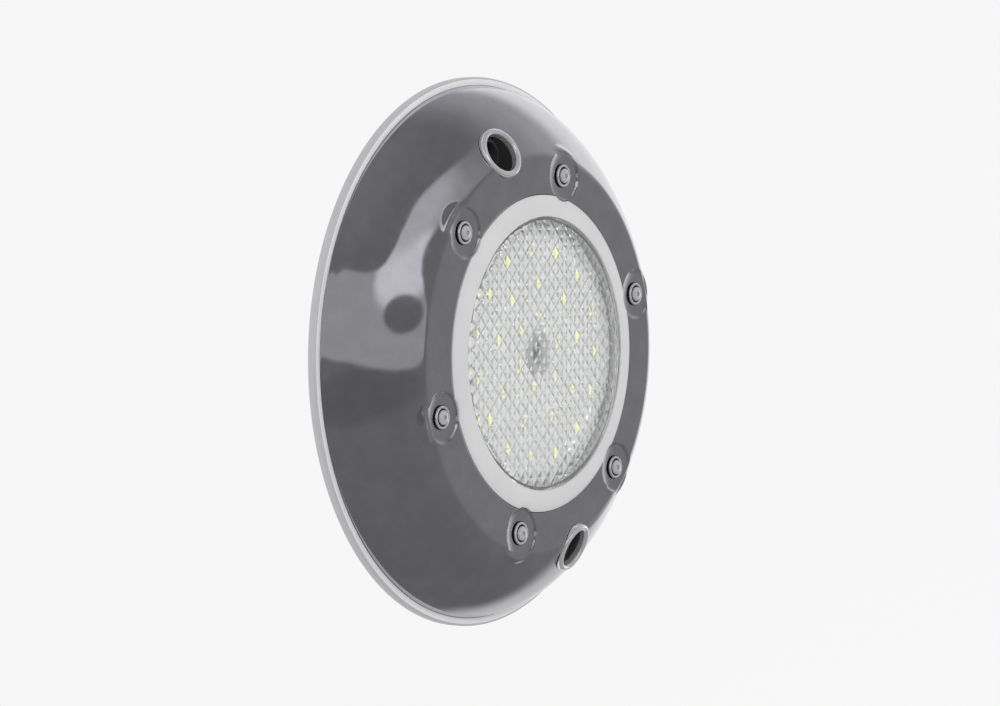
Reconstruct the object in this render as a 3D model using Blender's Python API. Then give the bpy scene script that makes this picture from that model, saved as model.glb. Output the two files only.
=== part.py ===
"""Surface-mounted underwater pool light: dished steel cover, clamped lamp capsule and wall bracket.

The wall is the plane y = 0, the light's axis is the Y axis and the light shines towards -Y.
Lengths are in metres.  A height is a distance forward of the wall, so a height h is at y = -h.
Angles go round the axis from +X towards +Z.
"""

import math

import bmesh
import bpy
from mathutils import Matrix, Vector

MM = 0.001

# ---------------------------------------------------------------- driving dimensions
GAP = 0.3 * MM                      # space left between pieces that touch
ROUND_SEGMENTS = 40                 # sides of a large round piece
SEAT_SEGMENTS = 20                  # sides of a screw seat, and of a port and its well
SMALL_SEGMENTS = 16                 # sides of a screw-sized round piece
WELD_DISTANCE = 0.0003 * MM         # corners closer than this are one corner

# radii grow outward from the lens window
LENS_RADIUS = 71.2 * MM
LENS_FLANGE_WIDTH = 4.9 * MM
LENS_CLEARANCE = 0.4 * MM
BEZEL_WIDTH = 11.3 * MM
LAMP_FLANGE_WIDTH = 5.7 * MM
SCREW_EDGE_DISTANCE = 6.4 * MM      # lamp flange edge to clamp screw axis
CREASE_DISTANCE = 8.7 * MM          # clamp screw axis to the edge of the flat face
PORT_DISTANCE = 6.1 * MM            # edge of the flat face to the port centre
DOME_WIDTH = 36.7 * MM              # edge of the flat face to the foot of the dome
RIM_WIDTH = 4.6 * MM

# heights, forward of the wall
FACE_HEIGHT = 44.2 * MM
LENS_STAND = 2.7 * MM               # lens front ahead of the cover's flat face
RIM_SKIRT = 2.4 * MM
RIM_BEAD = 1.8 * MM                 # radius of the rolled edge above the skirt

# pressed steel cover
COVER_SHEET = 1.2 * MM
SHOULDER_SLOPE = math.radians(30.0)  # fall of the dome just outside the flat face
SHOULDER_REACH = 17.0 * MM
FOOT_REACH = 15.0 * MM
DOME_STEPS = 8

# clamp screw seats pressed into the cover
SEAT_COUNT = 6
SEAT_DEPTH = 1.7 * MM
SEAT_FLOOR_RADIUS = 12.0 * MM
SEAT_WALL_WIDTH = 1.7 * MM
SEAT_LUG_WIDTH = 1.3 * MM           # how far the seat's lug reaches past its floor at the opening
SEAT_BOSS_WIDTH = 1.5 * MM          # flat of the boss beyond the floor, on the slope side
SEAT_BOSS_FOOT = 3.4 * MM           # spread of the boss from its top to its foot
SEAT_BOSS_HEIGHT = 3.6 * MM
BOSS_LIP = 0.15 * MM                # raised edge of the boss round the seat floor
SCREW_HOLE_CLEARANCE = 0.4 * MM

# clamp screws
CLAMP_SHANK_RADIUS = 2.0 * MM
CLAMP_HEAD_RADIUS = 3.75 * MM
CLAMP_HEAD_HEIGHT = 1.9 * MM
CLAMP_KEY_RADIUS = 1.45 * MM        # corner radius of the hexagonal socket
CLAMP_KEY_DEPTH = 1.1 * MM
CLAMP_TAIL = 1.2 * MM               # screw end beyond its nut
WASHER_RADIUS = 6.3 * MM
WASHER_THICKNESS = 0.6 * MM
NUT_FLATS = 7.0 * MM
NUT_HEIGHT = 3.2 * MM

# ports and the wells behind them
PORT_TILT = math.radians(25.0)      # port axis outward from the light's axis
PORT_ANGLES = {"top": math.radians(90.0), "bottom": math.radians(270.0)}
EYELET_HOLE_RADIUS = 10.3 * MM
EYELET_RADIUS = 13.6 * MM
EYELET_PROUD = 1.7 * MM
EYELET_SLEEVE_WALL = 0.9 * MM
EYELET_SLEEVE_DEPTH = 2.4 * MM
EYELET_SKIRT_DEPTH = 4.0 * MM
WELL_INSET = 2.3 * MM               # well axis towards the centre from the port centre
WELL_RADIUS = 9.0 * MM
WELL_WALL = 1.2 * MM
WELL_FLOOR = 2.0 * MM
WELL_DEPTH = 12.2 * MM
WELL_FLANGE_WIDTH = 1.8 * MM
WELL_FLANGE_THICKNESS = 1.2 * MM
EAR_WIDTH = 2.5 * MM                # clamp ring material round each well
EAR_STEP = 0.1 * MM                 # ears set back from the ring's faces

# captive fixing screws
FIXING_SHANK_RADIUS = 2.5 * MM
FIXING_SHANK_LENGTH = 12.1 * MM
FIXING_HEAD_RADIUS = 4.5 * MM
FIXING_HEAD_HEIGHT = 5.0 * MM
FIXING_KEY_RADIUS = 2.3 * MM
FIXING_KEY_DEPTH = 2.8 * MM
FIXING_WASHER_RADIUS = 6.5 * MM
FIXING_WASHER_THICKNESS = 1.2 * MM

# lamp capsule
GASKET_THICKNESS = 4.0 * MM
FLANGE_THICKNESS = 2.5 * MM
BEZEL_CROWN = 0.4 * MM              # bezel edge ahead of the cover's flat face
BEZEL_RISE = 2.0 * MM               # rise of the bezel from its edge to the lens
LENS_THICKNESS = 3.5 * MM
LENS_EDGE_DROP = 3.2 * MM           # lens flange below the cover's flat face
LENS_FLANGE_THICKNESS = 3.0 * MM
LENS_CHAMFER = 1.8 * MM
CLAMP_RING_THICKNESS = 2.2 * MM
CLAMP_RING_OVERLAP = 3.0 * MM       # clamp ring under the lamp flange
CLAMP_RING_MARGIN = 6.5 * MM        # clamp ring outside the screw circle
SHELL_FLANGE_WIDTH = 15.0 * MM
SHELL_WALL = 2.5 * MM
SHELL_BACK_GAP = 3.0 * MM           # lamp capsule to wall bracket
HEAT_SINK_CLEARANCE = 0.6 * MM
HEAT_SINK_PLATE = 3.2 * MM
HEAT_SINK_SKIRT = 3.2 * MM
BOARD_THICKNESS = 1.6 * MM
BOARD_MARGIN = 1.5 * MM
WIRE_HOLE_RADIUS = 4.0 * MM

# rings of light-emitting diodes: how many, ring radius, angle of the first
LED_RINGS = (
    (15, 55.0 * MM, math.radians(-18.0)),
    (9, 37.6 * MM, math.radians(72.0)),
    (6, 19.0 * MM, math.radians(0.0)),
)
LED_SIDE = 5.0 * MM
LED_HEIGHT = 1.0 * MM

# driver electronics on the floor of the capsule
DRIVER_LENGTH = 70.0 * MM
DRIVER_WIDTH = 46.0 * MM
DRIVER_LIFT = 3.0 * MM
PILLAR_RADIUS = 2.5 * MM
PILLAR_INSET = 5.0 * MM
PART_CLEARANCE = 2.0 * MM           # tallest component to heat sink
CAPACITOR_RADIUS = 5.0 * MM
CAPACITOR_PLACE = (-20.0 * MM, 8.0 * MM)
COIL_RADIUS = 9.0 * MM
COIL_HOLE_RADIUS = 4.0 * MM
COIL_HEIGHT = 7.0 * MM
COIL_PLACE = (4.0 * MM, -6.0 * MM)
TERMINAL_SIZE = (8.0 * MM, 9.0 * MM, 16.0 * MM)
TERMINAL_PLACE = (26.0 * MM, 0.0)

# cable gland in the side of the capsule
GLAND_ANGLE = math.radians(180.0)
GLAND_RISE = 9.0 * MM               # gland axis above the capsule's back
GLAND_THREAD_RADIUS = 5.6 * MM
GLAND_THREAD_INSIDE = 2.0 * MM
GLAND_FLATS = 14.0 * MM
GLAND_FLANGE = 3.0 * MM
GLAND_NUT_LENGTH = 7.8 * MM
GLAND_NECK_RADIUS = 5.2 * MM
GLAND_SEAL_RADIUS = 4.6 * MM
CABLE_RADIUS = 3.6 * MM

# wall bracket
BRACKET_THICKNESS = 2.5 * MM
BRACKET_WIDTH = 40.0 * MM
BRACKET_HUB_RADIUS = 40.0 * MM
BRACKET_END = 11.0 * MM             # bracket beyond the fixing screw axis
POST_RADIUS = 7.0 * MM
WALL_HOLE_RADIUS = 2.8 * MM
WALL_HOLE_DISTANCES = (56.0 * MM, 78.0 * MM)
HUB_HOLE_CIRCLE = 33.0 * MM
CONDUIT_RADIUS = 10.0 * MM
CONDUIT_OFFSET = 22.0 * MM          # conduit hole from the centre, on the gland's side

# ---------------------------------------------------------------- derived radii
LENS_FLANGE_RADIUS = LENS_RADIUS + LENS_FLANGE_WIDTH
BEZEL_BORE = LENS_RADIUS + LENS_CLEARANCE
BEZEL_RADIUS = BEZEL_BORE + BEZEL_WIDTH
OPENING_RADIUS = BEZEL_RADIUS + GAP
LAMP_FLANGE_RADIUS = BEZEL_RADIUS + LAMP_FLANGE_WIDTH
SEAT_CIRCLE = LAMP_FLANGE_RADIUS + SCREW_EDGE_DISTANCE
SEAT_LUG_RADIUS = SEAT_FLOOR_RADIUS + SEAT_LUG_WIDTH
CREASE_RADIUS = SEAT_CIRCLE + CREASE_DISTANCE
PORT_CIRCLE = CREASE_RADIUS + PORT_DISTANCE
WELL_CIRCLE = PORT_CIRCLE - WELL_INSET
DOME_RADIUS = CREASE_RADIUS + DOME_WIDTH
RIM_RADIUS = DOME_RADIUS + RIM_WIDTH
SHELL_RADIUS = LAMP_FLANGE_RADIUS - SHELL_FLANGE_WIDTH
SHELL_BORE = SHELL_RADIUS - SHELL_WALL
HEAT_SINK_RADIUS = SHELL_BORE - HEAT_SINK_CLEARANCE
LED_BOARD_RADIUS = HEAT_SINK_RADIUS - BOARD_MARGIN

# ---------------------------------------------------------------- derived heights
RIM_TOP = RIM_SKIRT + RIM_BEAD
SEAT_FLOOR = FACE_HEIGHT - SEAT_DEPTH
GASKET_TOP = SEAT_FLOOR - COVER_SHEET - GAP
BEZEL_FLANGE_TOP = GASKET_TOP - GASKET_THICKNESS - GAP
BEZEL_BACK = BEZEL_FLANGE_TOP - FLANGE_THICKNESS
SHELL_TOP = BEZEL_BACK - GAP
SHELL_FLANGE_BACK = SHELL_TOP - FLANGE_THICKNESS
CLAMP_RING_TOP = SHELL_FLANGE_BACK - GAP
CLAMP_RING_BACK = CLAMP_RING_TOP - CLAMP_RING_THICKNESS
NUT_TOP = CLAMP_RING_BACK - GAP
LENS_FRONT = FACE_HEIGHT + LENS_STAND
LENS_FLANGE_TOP = FACE_HEIGHT - LENS_EDGE_DROP
LENS_FLANGE_BACK = LENS_FLANGE_TOP - LENS_FLANGE_THICKNESS
SHELL_BACK = BRACKET_THICKNESS + SHELL_BACK_GAP
SHELL_FLOOR = SHELL_BACK + SHELL_WALL
LED_BOARD_BACK = SHELL_TOP + GAP
LED_BOARD_FRONT = LED_BOARD_BACK + BOARD_THICKNESS
DRIVER_BACK = SHELL_FLOOR + DRIVER_LIFT
DRIVER_FRONT = DRIVER_BACK + BOARD_THICKNESS
WELL_MOUTH = CLAMP_RING_TOP + GAP + WELL_FLANGE_THICKNESS
WELL_BACK = WELL_MOUTH - WELL_DEPTH
FIXING_WASHER_BACK = WELL_BACK + WELL_FLOOR + GAP
FIXING_HEAD_BACK = FIXING_WASHER_BACK + FIXING_WASHER_THICKNESS + GAP
GLAND_HEIGHT = SHELL_BACK + GLAND_RISE
SEAT_ANGLES = [math.tau * index / SEAT_COUNT for index in range(SEAT_COUNT)]


# ---------------------------------------------------------------- materials
def make_material(name, colour, roughness, metallic=0.0, transmission=0.0):
    """A Principled material with the part's colour, roughness and metallic value."""
    material = bpy.data.materials.new(name)
    material.use_nodes = True
    shader = material.node_tree.nodes["Principled BSDF"]
    shader.inputs["Base Color"].default_value = (*colour, 1.0)
    shader.inputs["Roughness"].default_value = roughness
    shader.inputs["Metallic"].default_value = metallic
    shader.inputs["Transmission Weight"].default_value = transmission
    return material


def make_materials():
    """Every material of the light, by name."""
    return {
        "cover_steel": make_material("cover_steel", (0.55, 0.55, 0.56), 0.08, 1.0),
        "chrome": make_material("chrome", (0.80, 0.80, 0.82), 0.05, 1.0),
        "screw_steel": make_material("screw_steel", (0.60, 0.60, 0.60), 0.25, 1.0),
        "bracket_steel": make_material("bracket_steel", (0.50, 0.50, 0.51), 0.35, 1.0),
        "white_plastic": make_material("white_plastic", (0.80, 0.80, 0.80), 0.45),
        "clear_plastic": make_material("clear_plastic", (0.90, 0.90, 0.92), 0.10, 0.0, 0.9),
        "black_rubber": make_material("black_rubber", (0.03, 0.03, 0.03), 0.70),
        "grey_plastic": make_material("grey_plastic", (0.35, 0.35, 0.36), 0.50),
        "aluminium": make_material("aluminium", (0.70, 0.70, 0.72), 0.35, 1.0),
        "board_white": make_material("board_white", (0.85, 0.85, 0.83), 0.50),
        "board_green": make_material("board_green", (0.05, 0.25, 0.12), 0.50),
        "coil_copper": make_material("coil_copper", (0.55, 0.27, 0.12), 0.40, 1.0),
    }


# ---------------------------------------------------------------- shape helpers
def spoke(angle):
    """Turns +X to point outward at an angle round the light's axis."""
    return Matrix.Rotation(-angle, 4, "Y")


def add_object(name, mesh_builder, material=None, place=None):
    """Turns a bmesh into an object with outward faces, smooth where it is round."""
    bmesh.ops.recalc_face_normals(mesh_builder, faces=mesh_builder.faces)
    mesh = bpy.data.meshes.new(name)
    mesh_builder.to_mesh(mesh)
    mesh_builder.free()
    mesh.shade_smooth()
    mesh.set_sharp_from_angle(angle=math.radians(30.0))
    if material:
        mesh.materials.append(material)
    item = bpy.data.objects.new(name, mesh)
    bpy.context.scene.collection.objects.link(item)
    if place:
        item.matrix_world = place
    return item


def turned(name, outline, material=None, place=None, segments=ROUND_SEGMENTS):
    """Turns an outline of (radius, height) points into a solid round the -Y axis.

    An outline that starts and ends on the axis closes there; any other joins its ends.
    """
    builder = bmesh.new()
    corners = [builder.verts.new((radius, -height, 0.0)) for radius, height in outline]
    edges = [builder.edges.new(pair) for pair in zip(corners, corners[1:])]
    if outline[0][0] > 0.0:
        edges.append(builder.edges.new((corners[-1], corners[0])))
    bmesh.ops.spin(
        builder, geom=corners + edges, axis=(0.0, 1.0, 0.0), cent=(0.0, 0.0, 0.0),
        angle=math.tau, steps=segments, use_merge=True, use_duplicate=False,
    )
    bmesh.ops.remove_doubles(builder, verts=builder.verts, dist=WELD_DISTANCE)
    return add_object(name, builder, material, place)


def ring_outline(inner, outer, back, front):
    """Outline of a plain ring or tube."""
    return [(inner, back), (outer, back), (outer, front), (inner, front)]


def disc_outline(radius, back, front):
    """Outline of a plain disc or rod."""
    return [(0.0, back), (radius, back), (radius, front), (0.0, front)]


def add_cone(builder, place, back_radius, front_radius, back, front, segments):
    """Adds a straight or tapered plug whose axis is -Y, between two heights."""
    centre = Matrix.Translation((0.0, -(back + front) / 2.0, 0.0))
    upright = Matrix.Rotation(math.pi / 2.0, 4, "X")
    bmesh.ops.create_cone(
        builder, cap_ends=True, segments=segments, radius1=back_radius, radius2=front_radius,
        depth=front - back, matrix=place @ centre @ upright,
    )


def plugs(name, places, back_radius, front_radius, back, front, segments=ROUND_SEGMENTS):
    """One object of equal plugs, one at each place."""
    builder = bmesh.new()
    for place in places:
        add_cone(builder, place, back_radius, front_radius, back, front, segments)
    return add_object(name, builder)


def prism(name, flats, back, front, material=None, place=None):
    """A hexagonal prism on the -Y axis, measured across its flats."""
    builder = bmesh.new()
    corner = flats / 2.0 / math.cos(math.pi / 6.0)
    add_cone(builder, Matrix.Identity(4), corner, corner, back, front, 6)
    return add_object(name, builder, material, place)


def add_box(builder, place, size):
    """Adds a box of a given X, Y and Z size, centred on a place."""
    bmesh.ops.create_cube(builder, size=1.0, matrix=place @ Matrix.Diagonal((*size, 1.0)))


def weld_slivers(mesh):
    """Joins corners that lie within the weld distance and drops faces without area."""
    builder = bmesh.new()
    builder.from_mesh(mesh)
    bmesh.ops.remove_doubles(builder, verts=builder.verts, dist=WELD_DISTANCE)
    bmesh.ops.dissolve_degenerate(builder, edges=builder.edges, dist=WELD_DISTANCE)
    builder.to_mesh(mesh)
    builder.free()


def combine(item, other, operation):
    """Applies an exact Boolean of another object to an item, and removes the other object."""
    modifier = item.modifiers.new(operation.lower(), "BOOLEAN")
    modifier.operation = operation
    modifier.solver = "EXACT"
    modifier.object = other
    bpy.context.view_layer.update()
    evaluated = item.evaluated_get(bpy.context.evaluated_depsgraph_get())
    result = bpy.data.meshes.new_from_object(evaluated)
    weld_slivers(result)
    item.modifiers.clear()
    item.data = result
    bpy.data.objects.remove(other, do_unlink=True)
    return item


def copies(item, name, places):
    """Names an item after its first place, and adds one like it, sharing its mesh, at the others."""
    made = [item]
    for _ in places[1:]:
        twin = bpy.data.objects.new(name, item.data)
        bpy.context.scene.collection.objects.link(twin)
        made.append(twin)
    for index, (piece, place) in enumerate(zip(made, places), start=1):
        piece.name = f"{name}_{index}"
        piece.matrix_world = place
    return made


def group(name, items):
    """Parents items to an empty on the light's axis, so that they move as one."""
    empty = bpy.data.objects.new(name, None)
    bpy.context.scene.collection.objects.link(empty)
    for item in items:
        item.parent = empty
    return empty


# ---------------------------------------------------------------- the pressed cover
def seat_places():
    """Places of the clamp screws, on the wall plane."""
    return [spoke(angle) @ Matrix.Translation((SEAT_CIRCLE, 0.0, 0.0)) for angle in SEAT_ANGLES]


def dome_points():
    """Dome curve from the edge of the flat face to the foot, as points with outward normals."""
    start = Vector((CREASE_RADIUS, FACE_HEIGHT))
    end = Vector((DOME_RADIUS, RIM_TOP))
    shoulder = start + SHOULDER_REACH * Vector((math.cos(SHOULDER_SLOPE), -math.sin(SHOULDER_SLOPE)))
    foot = end + Vector((0.0, FOOT_REACH))
    result = []
    for step in range(DOME_STEPS + 1):
        t = step / DOME_STEPS
        s = 1.0 - t
        point = s**3 * start + 3 * s * s * t * shoulder + 3 * s * t * t * foot + t**3 * end
        slope = s * s * (shoulder - start) + 2 * s * t * (foot - shoulder) + t * t * (end - foot)
        result.append((point, Vector((-slope.y, slope.x)).normalized()))
    return result


def dome_height(radius):
    """Height of the dome's outer surface at a radius."""
    points = [point for point, _ in dome_points()]
    for near, far in zip(points, points[1:]):
        if near.x <= radius <= far.x:
            return near.y + (far.y - near.y) * (radius - near.x) / (far.x - near.x)
    return FACE_HEIGHT


def dome_solid(name, offset):
    """Solid bounded by the dome's outer surface moved outward by an offset, without its rim."""
    outline = [(0.0, FACE_HEIGHT + offset)]
    outline.append((CREASE_RADIUS + offset * math.tan(SHOULDER_SLOPE / 2.0), FACE_HEIGHT + offset))
    for point, normal in dome_points()[1:]:
        moved = point + offset * normal
        outline.append((moved.x, moved.y))
    outline.append((outline[-1][0], -RIM_TOP))
    outline.append((0.0, -RIM_TOP))
    return turned(name, outline)


def cover_blank(name):
    """The cover's outer shape as a full solid standing on the wall."""
    bead_centre = Vector((RIM_RADIUS - RIM_BEAD, RIM_SKIRT))
    outline = [(0.0, 0.0), (RIM_RADIUS, 0.0)]
    for step in range(5):
        angle = math.pi / 2.0 * step / 4
        outline.append((bead_centre.x + RIM_BEAD * math.cos(angle), bead_centre.y + RIM_BEAD * math.sin(angle)))
    outline += [(point.x, point.y) for point, _ in reversed(dome_points())]
    outline.append((0.0, FACE_HEIGHT))
    return turned(name, outline)


def cover_hollow(name):
    """The space inside the cover: one sheet thickness within its outer shape."""
    skirt_bore = RIM_RADIUS - COVER_SHEET
    rim_under = RIM_TOP - COVER_SHEET
    outline = [(0.0, -RIM_TOP), (skirt_bore, -RIM_TOP), (skirt_bore, RIM_SKIRT)]
    outline.append((RIM_RADIUS - RIM_BEAD, rim_under))
    outline.append((DOME_RADIUS - COVER_SHEET, rim_under))
    for point, normal in reversed(dome_points()[1:]):
        moved = point - COVER_SHEET * normal
        outline.append((moved.x, moved.y))
    inset = COVER_SHEET * math.tan(SHOULDER_SLOPE / 2.0)
    outline.append((CREASE_RADIUS - inset, FACE_HEIGHT - COVER_SHEET))
    outline.append((0.0, FACE_HEIGHT - COVER_SHEET))
    return turned(name, outline)


def seat_pockets(name, inset):
    """Tapered plugs that sink the screw seats; an inset sets them one sheet further back."""
    rise = 3.0 * SEAT_DEPTH
    spread = SEAT_WALL_WIDTH / SEAT_DEPTH
    floor_radius = SEAT_FLOOR_RADIUS + inset
    floor = SEAT_FLOOR - inset
    mouth_radius = floor_radius + spread * rise
    return plugs(name, seat_places(), floor_radius, mouth_radius, floor, floor + rise, SEAT_SEGMENTS)


def seat_bosses(name, inset):
    """Tapered plugs whose tops carry the seats where the dome falls away below them."""
    top_radius = SEAT_FLOOR_RADIUS + SEAT_BOSS_WIDTH - inset * 0.5
    top = SEAT_FLOOR + BOSS_LIP - inset
    foot = top - SEAT_BOSS_HEIGHT
    return plugs(name, seat_places(), top_radius + SEAT_BOSS_FOOT, top_radius, foot, top, SEAT_SEGMENTS)


def opening_plug(name, radius, lug_radius, back):
    """Plug for the lamp opening, notched by the lug of each screw seat."""
    front = LENS_FRONT + RIM_TOP
    plug = turned(name, disc_outline(radius, back, front))
    ends = (back - RIM_TOP, front + RIM_TOP)
    lugs = plugs("lugs", seat_places(), lug_radius, lug_radius, *ends, SEAT_SEGMENTS)
    return combine(plug, lugs, "DIFFERENCE")


def port_place(angle):
    """Place of a port: on the dome, tilted outward with its slope."""
    on_dome = Matrix.Translation((PORT_CIRCLE, -dome_height(PORT_CIRCLE), 0.0))
    return spoke(angle) @ on_dome @ Matrix.Rotation(PORT_TILT, 4, "Z")


def make_face_cover(material):
    """Pressed cover with the lamp opening, six screw seats and two ports."""
    cover = combine(cover_blank("face_cover"), seat_bosses("bosses", 0.0), "UNION")
    combine(cover, seat_pockets("pockets", 0.0), "DIFFERENCE")
    hollow = combine(cover_hollow("hollow"), seat_bosses("boss_backs", COVER_SHEET), "UNION")
    combine(hollow, seat_pockets("pocket_backs", COVER_SHEET), "DIFFERENCE")
    combine(cover, hollow, "DIFFERENCE")
    plug = opening_plug("opening", OPENING_RADIUS, SEAT_LUG_RADIUS, SEAT_FLOOR - 4.0 * COVER_SHEET)
    combine(cover, plug, "DIFFERENCE")
    hole = CLAMP_SHANK_RADIUS + SCREW_HOLE_CLEARANCE
    back = SEAT_FLOOR - 3.0 * COVER_SHEET
    combine(cover, plugs("screw_holes", seat_places(), hole, hole, back, LENS_FRONT, SMALL_SEGMENTS), "DIFFERENCE")
    ports = [port_place(angle) for angle in PORT_ANGLES.values()]
    hole = EYELET_HOLE_RADIUS + EYELET_SLEEVE_WALL + GAP
    reach = 4.0 * EYELET_SLEEVE_DEPTH
    combine(cover, plugs("port_holes", ports, hole, hole, -reach, reach, SEAT_SEGMENTS), "DIFFERENCE")
    cover.data.materials.clear()
    cover.data.materials.append(material)
    return cover


def make_eyelet(name, angle, material):
    """Rounded ring that lines a port; its skirt follows the dome and its sleeve goes through."""
    crown_height = EYELET_PROUD
    middle = (EYELET_HOLE_RADIUS + EYELET_RADIUS) / 2.0
    half = (EYELET_RADIUS - EYELET_HOLE_RADIUS) / 2.0
    outline = [(EYELET_HOLE_RADIUS, -EYELET_SKIRT_DEPTH), (EYELET_RADIUS, -EYELET_SKIRT_DEPTH)]
    for step in range(6):
        turn = math.pi * step / 5
        outline.append((middle + half * math.cos(turn), crown_height - half + half * math.sin(turn)))
    head = turned(name, outline, material, port_place(angle), SEAT_SEGMENTS)
    combine(head, dome_solid("under_head", GAP), "DIFFERENCE")
    sleeve_radius = EYELET_HOLE_RADIUS + EYELET_SLEEVE_WALL
    sleeve_outline = ring_outline(EYELET_HOLE_RADIUS, sleeve_radius, -EYELET_SLEEVE_DEPTH, crown_height - half)
    sleeve = turned("sleeve", sleeve_outline, material, port_place(angle), SEAT_SEGMENTS)
    return combine(head, sleeve, "UNION")


# ---------------------------------------------------------------- clamping hardware
def domed_head(radius, height, back):
    """Outline points of a low domed screw head, from its edge to its crown on the axis."""
    edge = height * 0.35
    points = [(radius, back), (radius, back + edge)]
    for step in range(1, 3):
        turn = math.pi / 2.0 * step / 3
        points.append((radius * math.cos(turn), back + edge + (height - edge) * math.sin(turn)))
    points.append((0.0, back + height))
    return points


def make_clamp_screws(material):
    """Six screws that hold the lamp capsule against the back of the cover."""
    head_back = SEAT_FLOOR + GAP + WASHER_THICKNESS + GAP
    tail = NUT_TOP - NUT_HEIGHT - CLAMP_TAIL
    outline = [(0.0, tail), (CLAMP_SHANK_RADIUS, tail), (CLAMP_SHANK_RADIUS, head_back)]
    outline += domed_head(CLAMP_HEAD_RADIUS, CLAMP_HEAD_HEIGHT, head_back)
    screw = turned("clamp_screw", outline, material, None, SMALL_SEGMENTS)
    crown = head_back + CLAMP_HEAD_HEIGHT
    socket = plugs(
        "socket", [Matrix.Identity(4)], CLAMP_KEY_RADIUS, CLAMP_KEY_RADIUS,
        crown - CLAMP_KEY_DEPTH, crown + CLAMP_KEY_DEPTH, 6,
    )
    return copies(combine(screw, socket, "DIFFERENCE"), "clamp_screw", seat_places())


def make_clamp_washers(material):
    """Rubber sealing washers under the clamp screw heads."""
    bore = CLAMP_SHANK_RADIUS + SCREW_HOLE_CLEARANCE
    back = SEAT_FLOOR + GAP
    outline = ring_outline(bore, WASHER_RADIUS, back, back + WASHER_THICKNESS)
    return copies(turned("clamp_washer", outline, material, None, SMALL_SEGMENTS), "clamp_washer", seat_places())


def make_clamp_nuts(material):
    """Hexagonal nuts behind the clamp ring."""
    nut = prism("clamp_nut", NUT_FLATS, NUT_TOP - NUT_HEIGHT, NUT_TOP, material)
    bore = CLAMP_SHANK_RADIUS + GAP
    hole = plugs("bore", [Matrix.Identity(4)], bore, bore, NUT_TOP - 2.0 * NUT_HEIGHT, NUT_TOP + NUT_HEIGHT, 12)
    return copies(combine(nut, hole, "DIFFERENCE"), "clamp_nut", seat_places())


def well_place(angle):
    """Place of a fixing screw's axis, on the wall plane."""
    return spoke(angle) @ Matrix.Translation((WELL_CIRCLE, 0.0, 0.0))


def make_clamp_ring(material):
    """Ring that presses the lamp flanges forward, with an ear for each screw well."""
    inner = LAMP_FLANGE_RADIUS - CLAMP_RING_OVERLAP
    outer = SEAT_CIRCLE + CLAMP_RING_MARGIN
    ring = turned("clamp_ring", ring_outline(inner, outer, CLAMP_RING_BACK, CLAMP_RING_TOP), material)
    wells = [well_place(angle) for angle in PORT_ANGLES.values()]
    ear = WELL_RADIUS + EAR_WIDTH
    back = CLAMP_RING_BACK + EAR_STEP
    combine(ring, plugs("ears", wells, ear, ear, back, CLAMP_RING_TOP - EAR_STEP, SEAT_SEGMENTS), "UNION")
    below = CLAMP_RING_BACK - CLAMP_RING_THICKNESS
    above = CLAMP_RING_TOP + CLAMP_RING_THICKNESS
    hole = CLAMP_SHANK_RADIUS + SCREW_HOLE_CLEARANCE
    combine(ring, plugs("screw_holes", seat_places(), hole, hole, below, above, SMALL_SEGMENTS), "DIFFERENCE")
    hole = WELL_RADIUS + GAP
    combine(ring, plugs("well_holes", wells, hole, hole, below, above, SEAT_SEGMENTS), "DIFFERENCE")
    return ring


def make_screw_well(name, angle, material):
    """Flanged cup behind a port; its floor is clamped to the bracket by the fixing screw."""
    bore = WELL_RADIUS - WELL_WALL
    hole = FIXING_SHANK_RADIUS + GAP
    flange = WELL_RADIUS + WELL_FLANGE_WIDTH
    outline = [
        (hole, WELL_BACK), (WELL_RADIUS, WELL_BACK), (WELL_RADIUS, WELL_MOUTH - WELL_FLANGE_THICKNESS),
        (flange, WELL_MOUTH - WELL_FLANGE_THICKNESS), (flange, WELL_MOUTH), (bore, WELL_MOUTH),
        (bore, WELL_BACK + WELL_FLOOR), (hole, WELL_BACK + WELL_FLOOR),
    ]
    return turned(name, outline, material, well_place(angle), SEAT_SEGMENTS)


def make_fixing_screw(name, angle, material):
    """Captive socket-head screw that holds the light to a bracket post."""
    tail = FIXING_HEAD_BACK - FIXING_SHANK_LENGTH
    crown = FIXING_HEAD_BACK + FIXING_HEAD_HEIGHT
    chamfer = FIXING_HEAD_RADIUS * 0.12
    outline = [
        (0.0, tail), (FIXING_SHANK_RADIUS, tail), (FIXING_SHANK_RADIUS, FIXING_HEAD_BACK),
        (FIXING_HEAD_RADIUS, FIXING_HEAD_BACK), (FIXING_HEAD_RADIUS, crown - chamfer),
        (FIXING_HEAD_RADIUS - chamfer, crown), (0.0, crown),
    ]
    screw = turned(name, outline, material, well_place(angle), SMALL_SEGMENTS)
    socket = plugs(
        "socket", [well_place(angle)], FIXING_KEY_RADIUS, FIXING_KEY_RADIUS,
        crown - FIXING_KEY_DEPTH, crown + FIXING_KEY_DEPTH, 6,
    )
    return combine(screw, socket, "DIFFERENCE")


def make_retaining_washer(name, angle, material):
    """Washer that keeps a fixing screw captive and travels in and out with it."""
    bore = FIXING_SHANK_RADIUS + GAP
    front = FIXING_WASHER_BACK + FIXING_WASHER_THICKNESS
    outline = ring_outline(bore, FIXING_WASHER_RADIUS, FIXING_WASHER_BACK, front)
    return turned(name, outline, material, well_place(angle), SEAT_SEGMENTS)


# ---------------------------------------------------------------- lamp capsule
def make_cover_gasket(material):
    """Soft ring between the screw seats and the lamp's front flange."""
    back = GASKET_TOP - GASKET_THICKNESS
    return turned("cover_gasket", ring_outline(OPENING_RADIUS, LAMP_FLANGE_RADIUS, back, GASKET_TOP), material)


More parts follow.
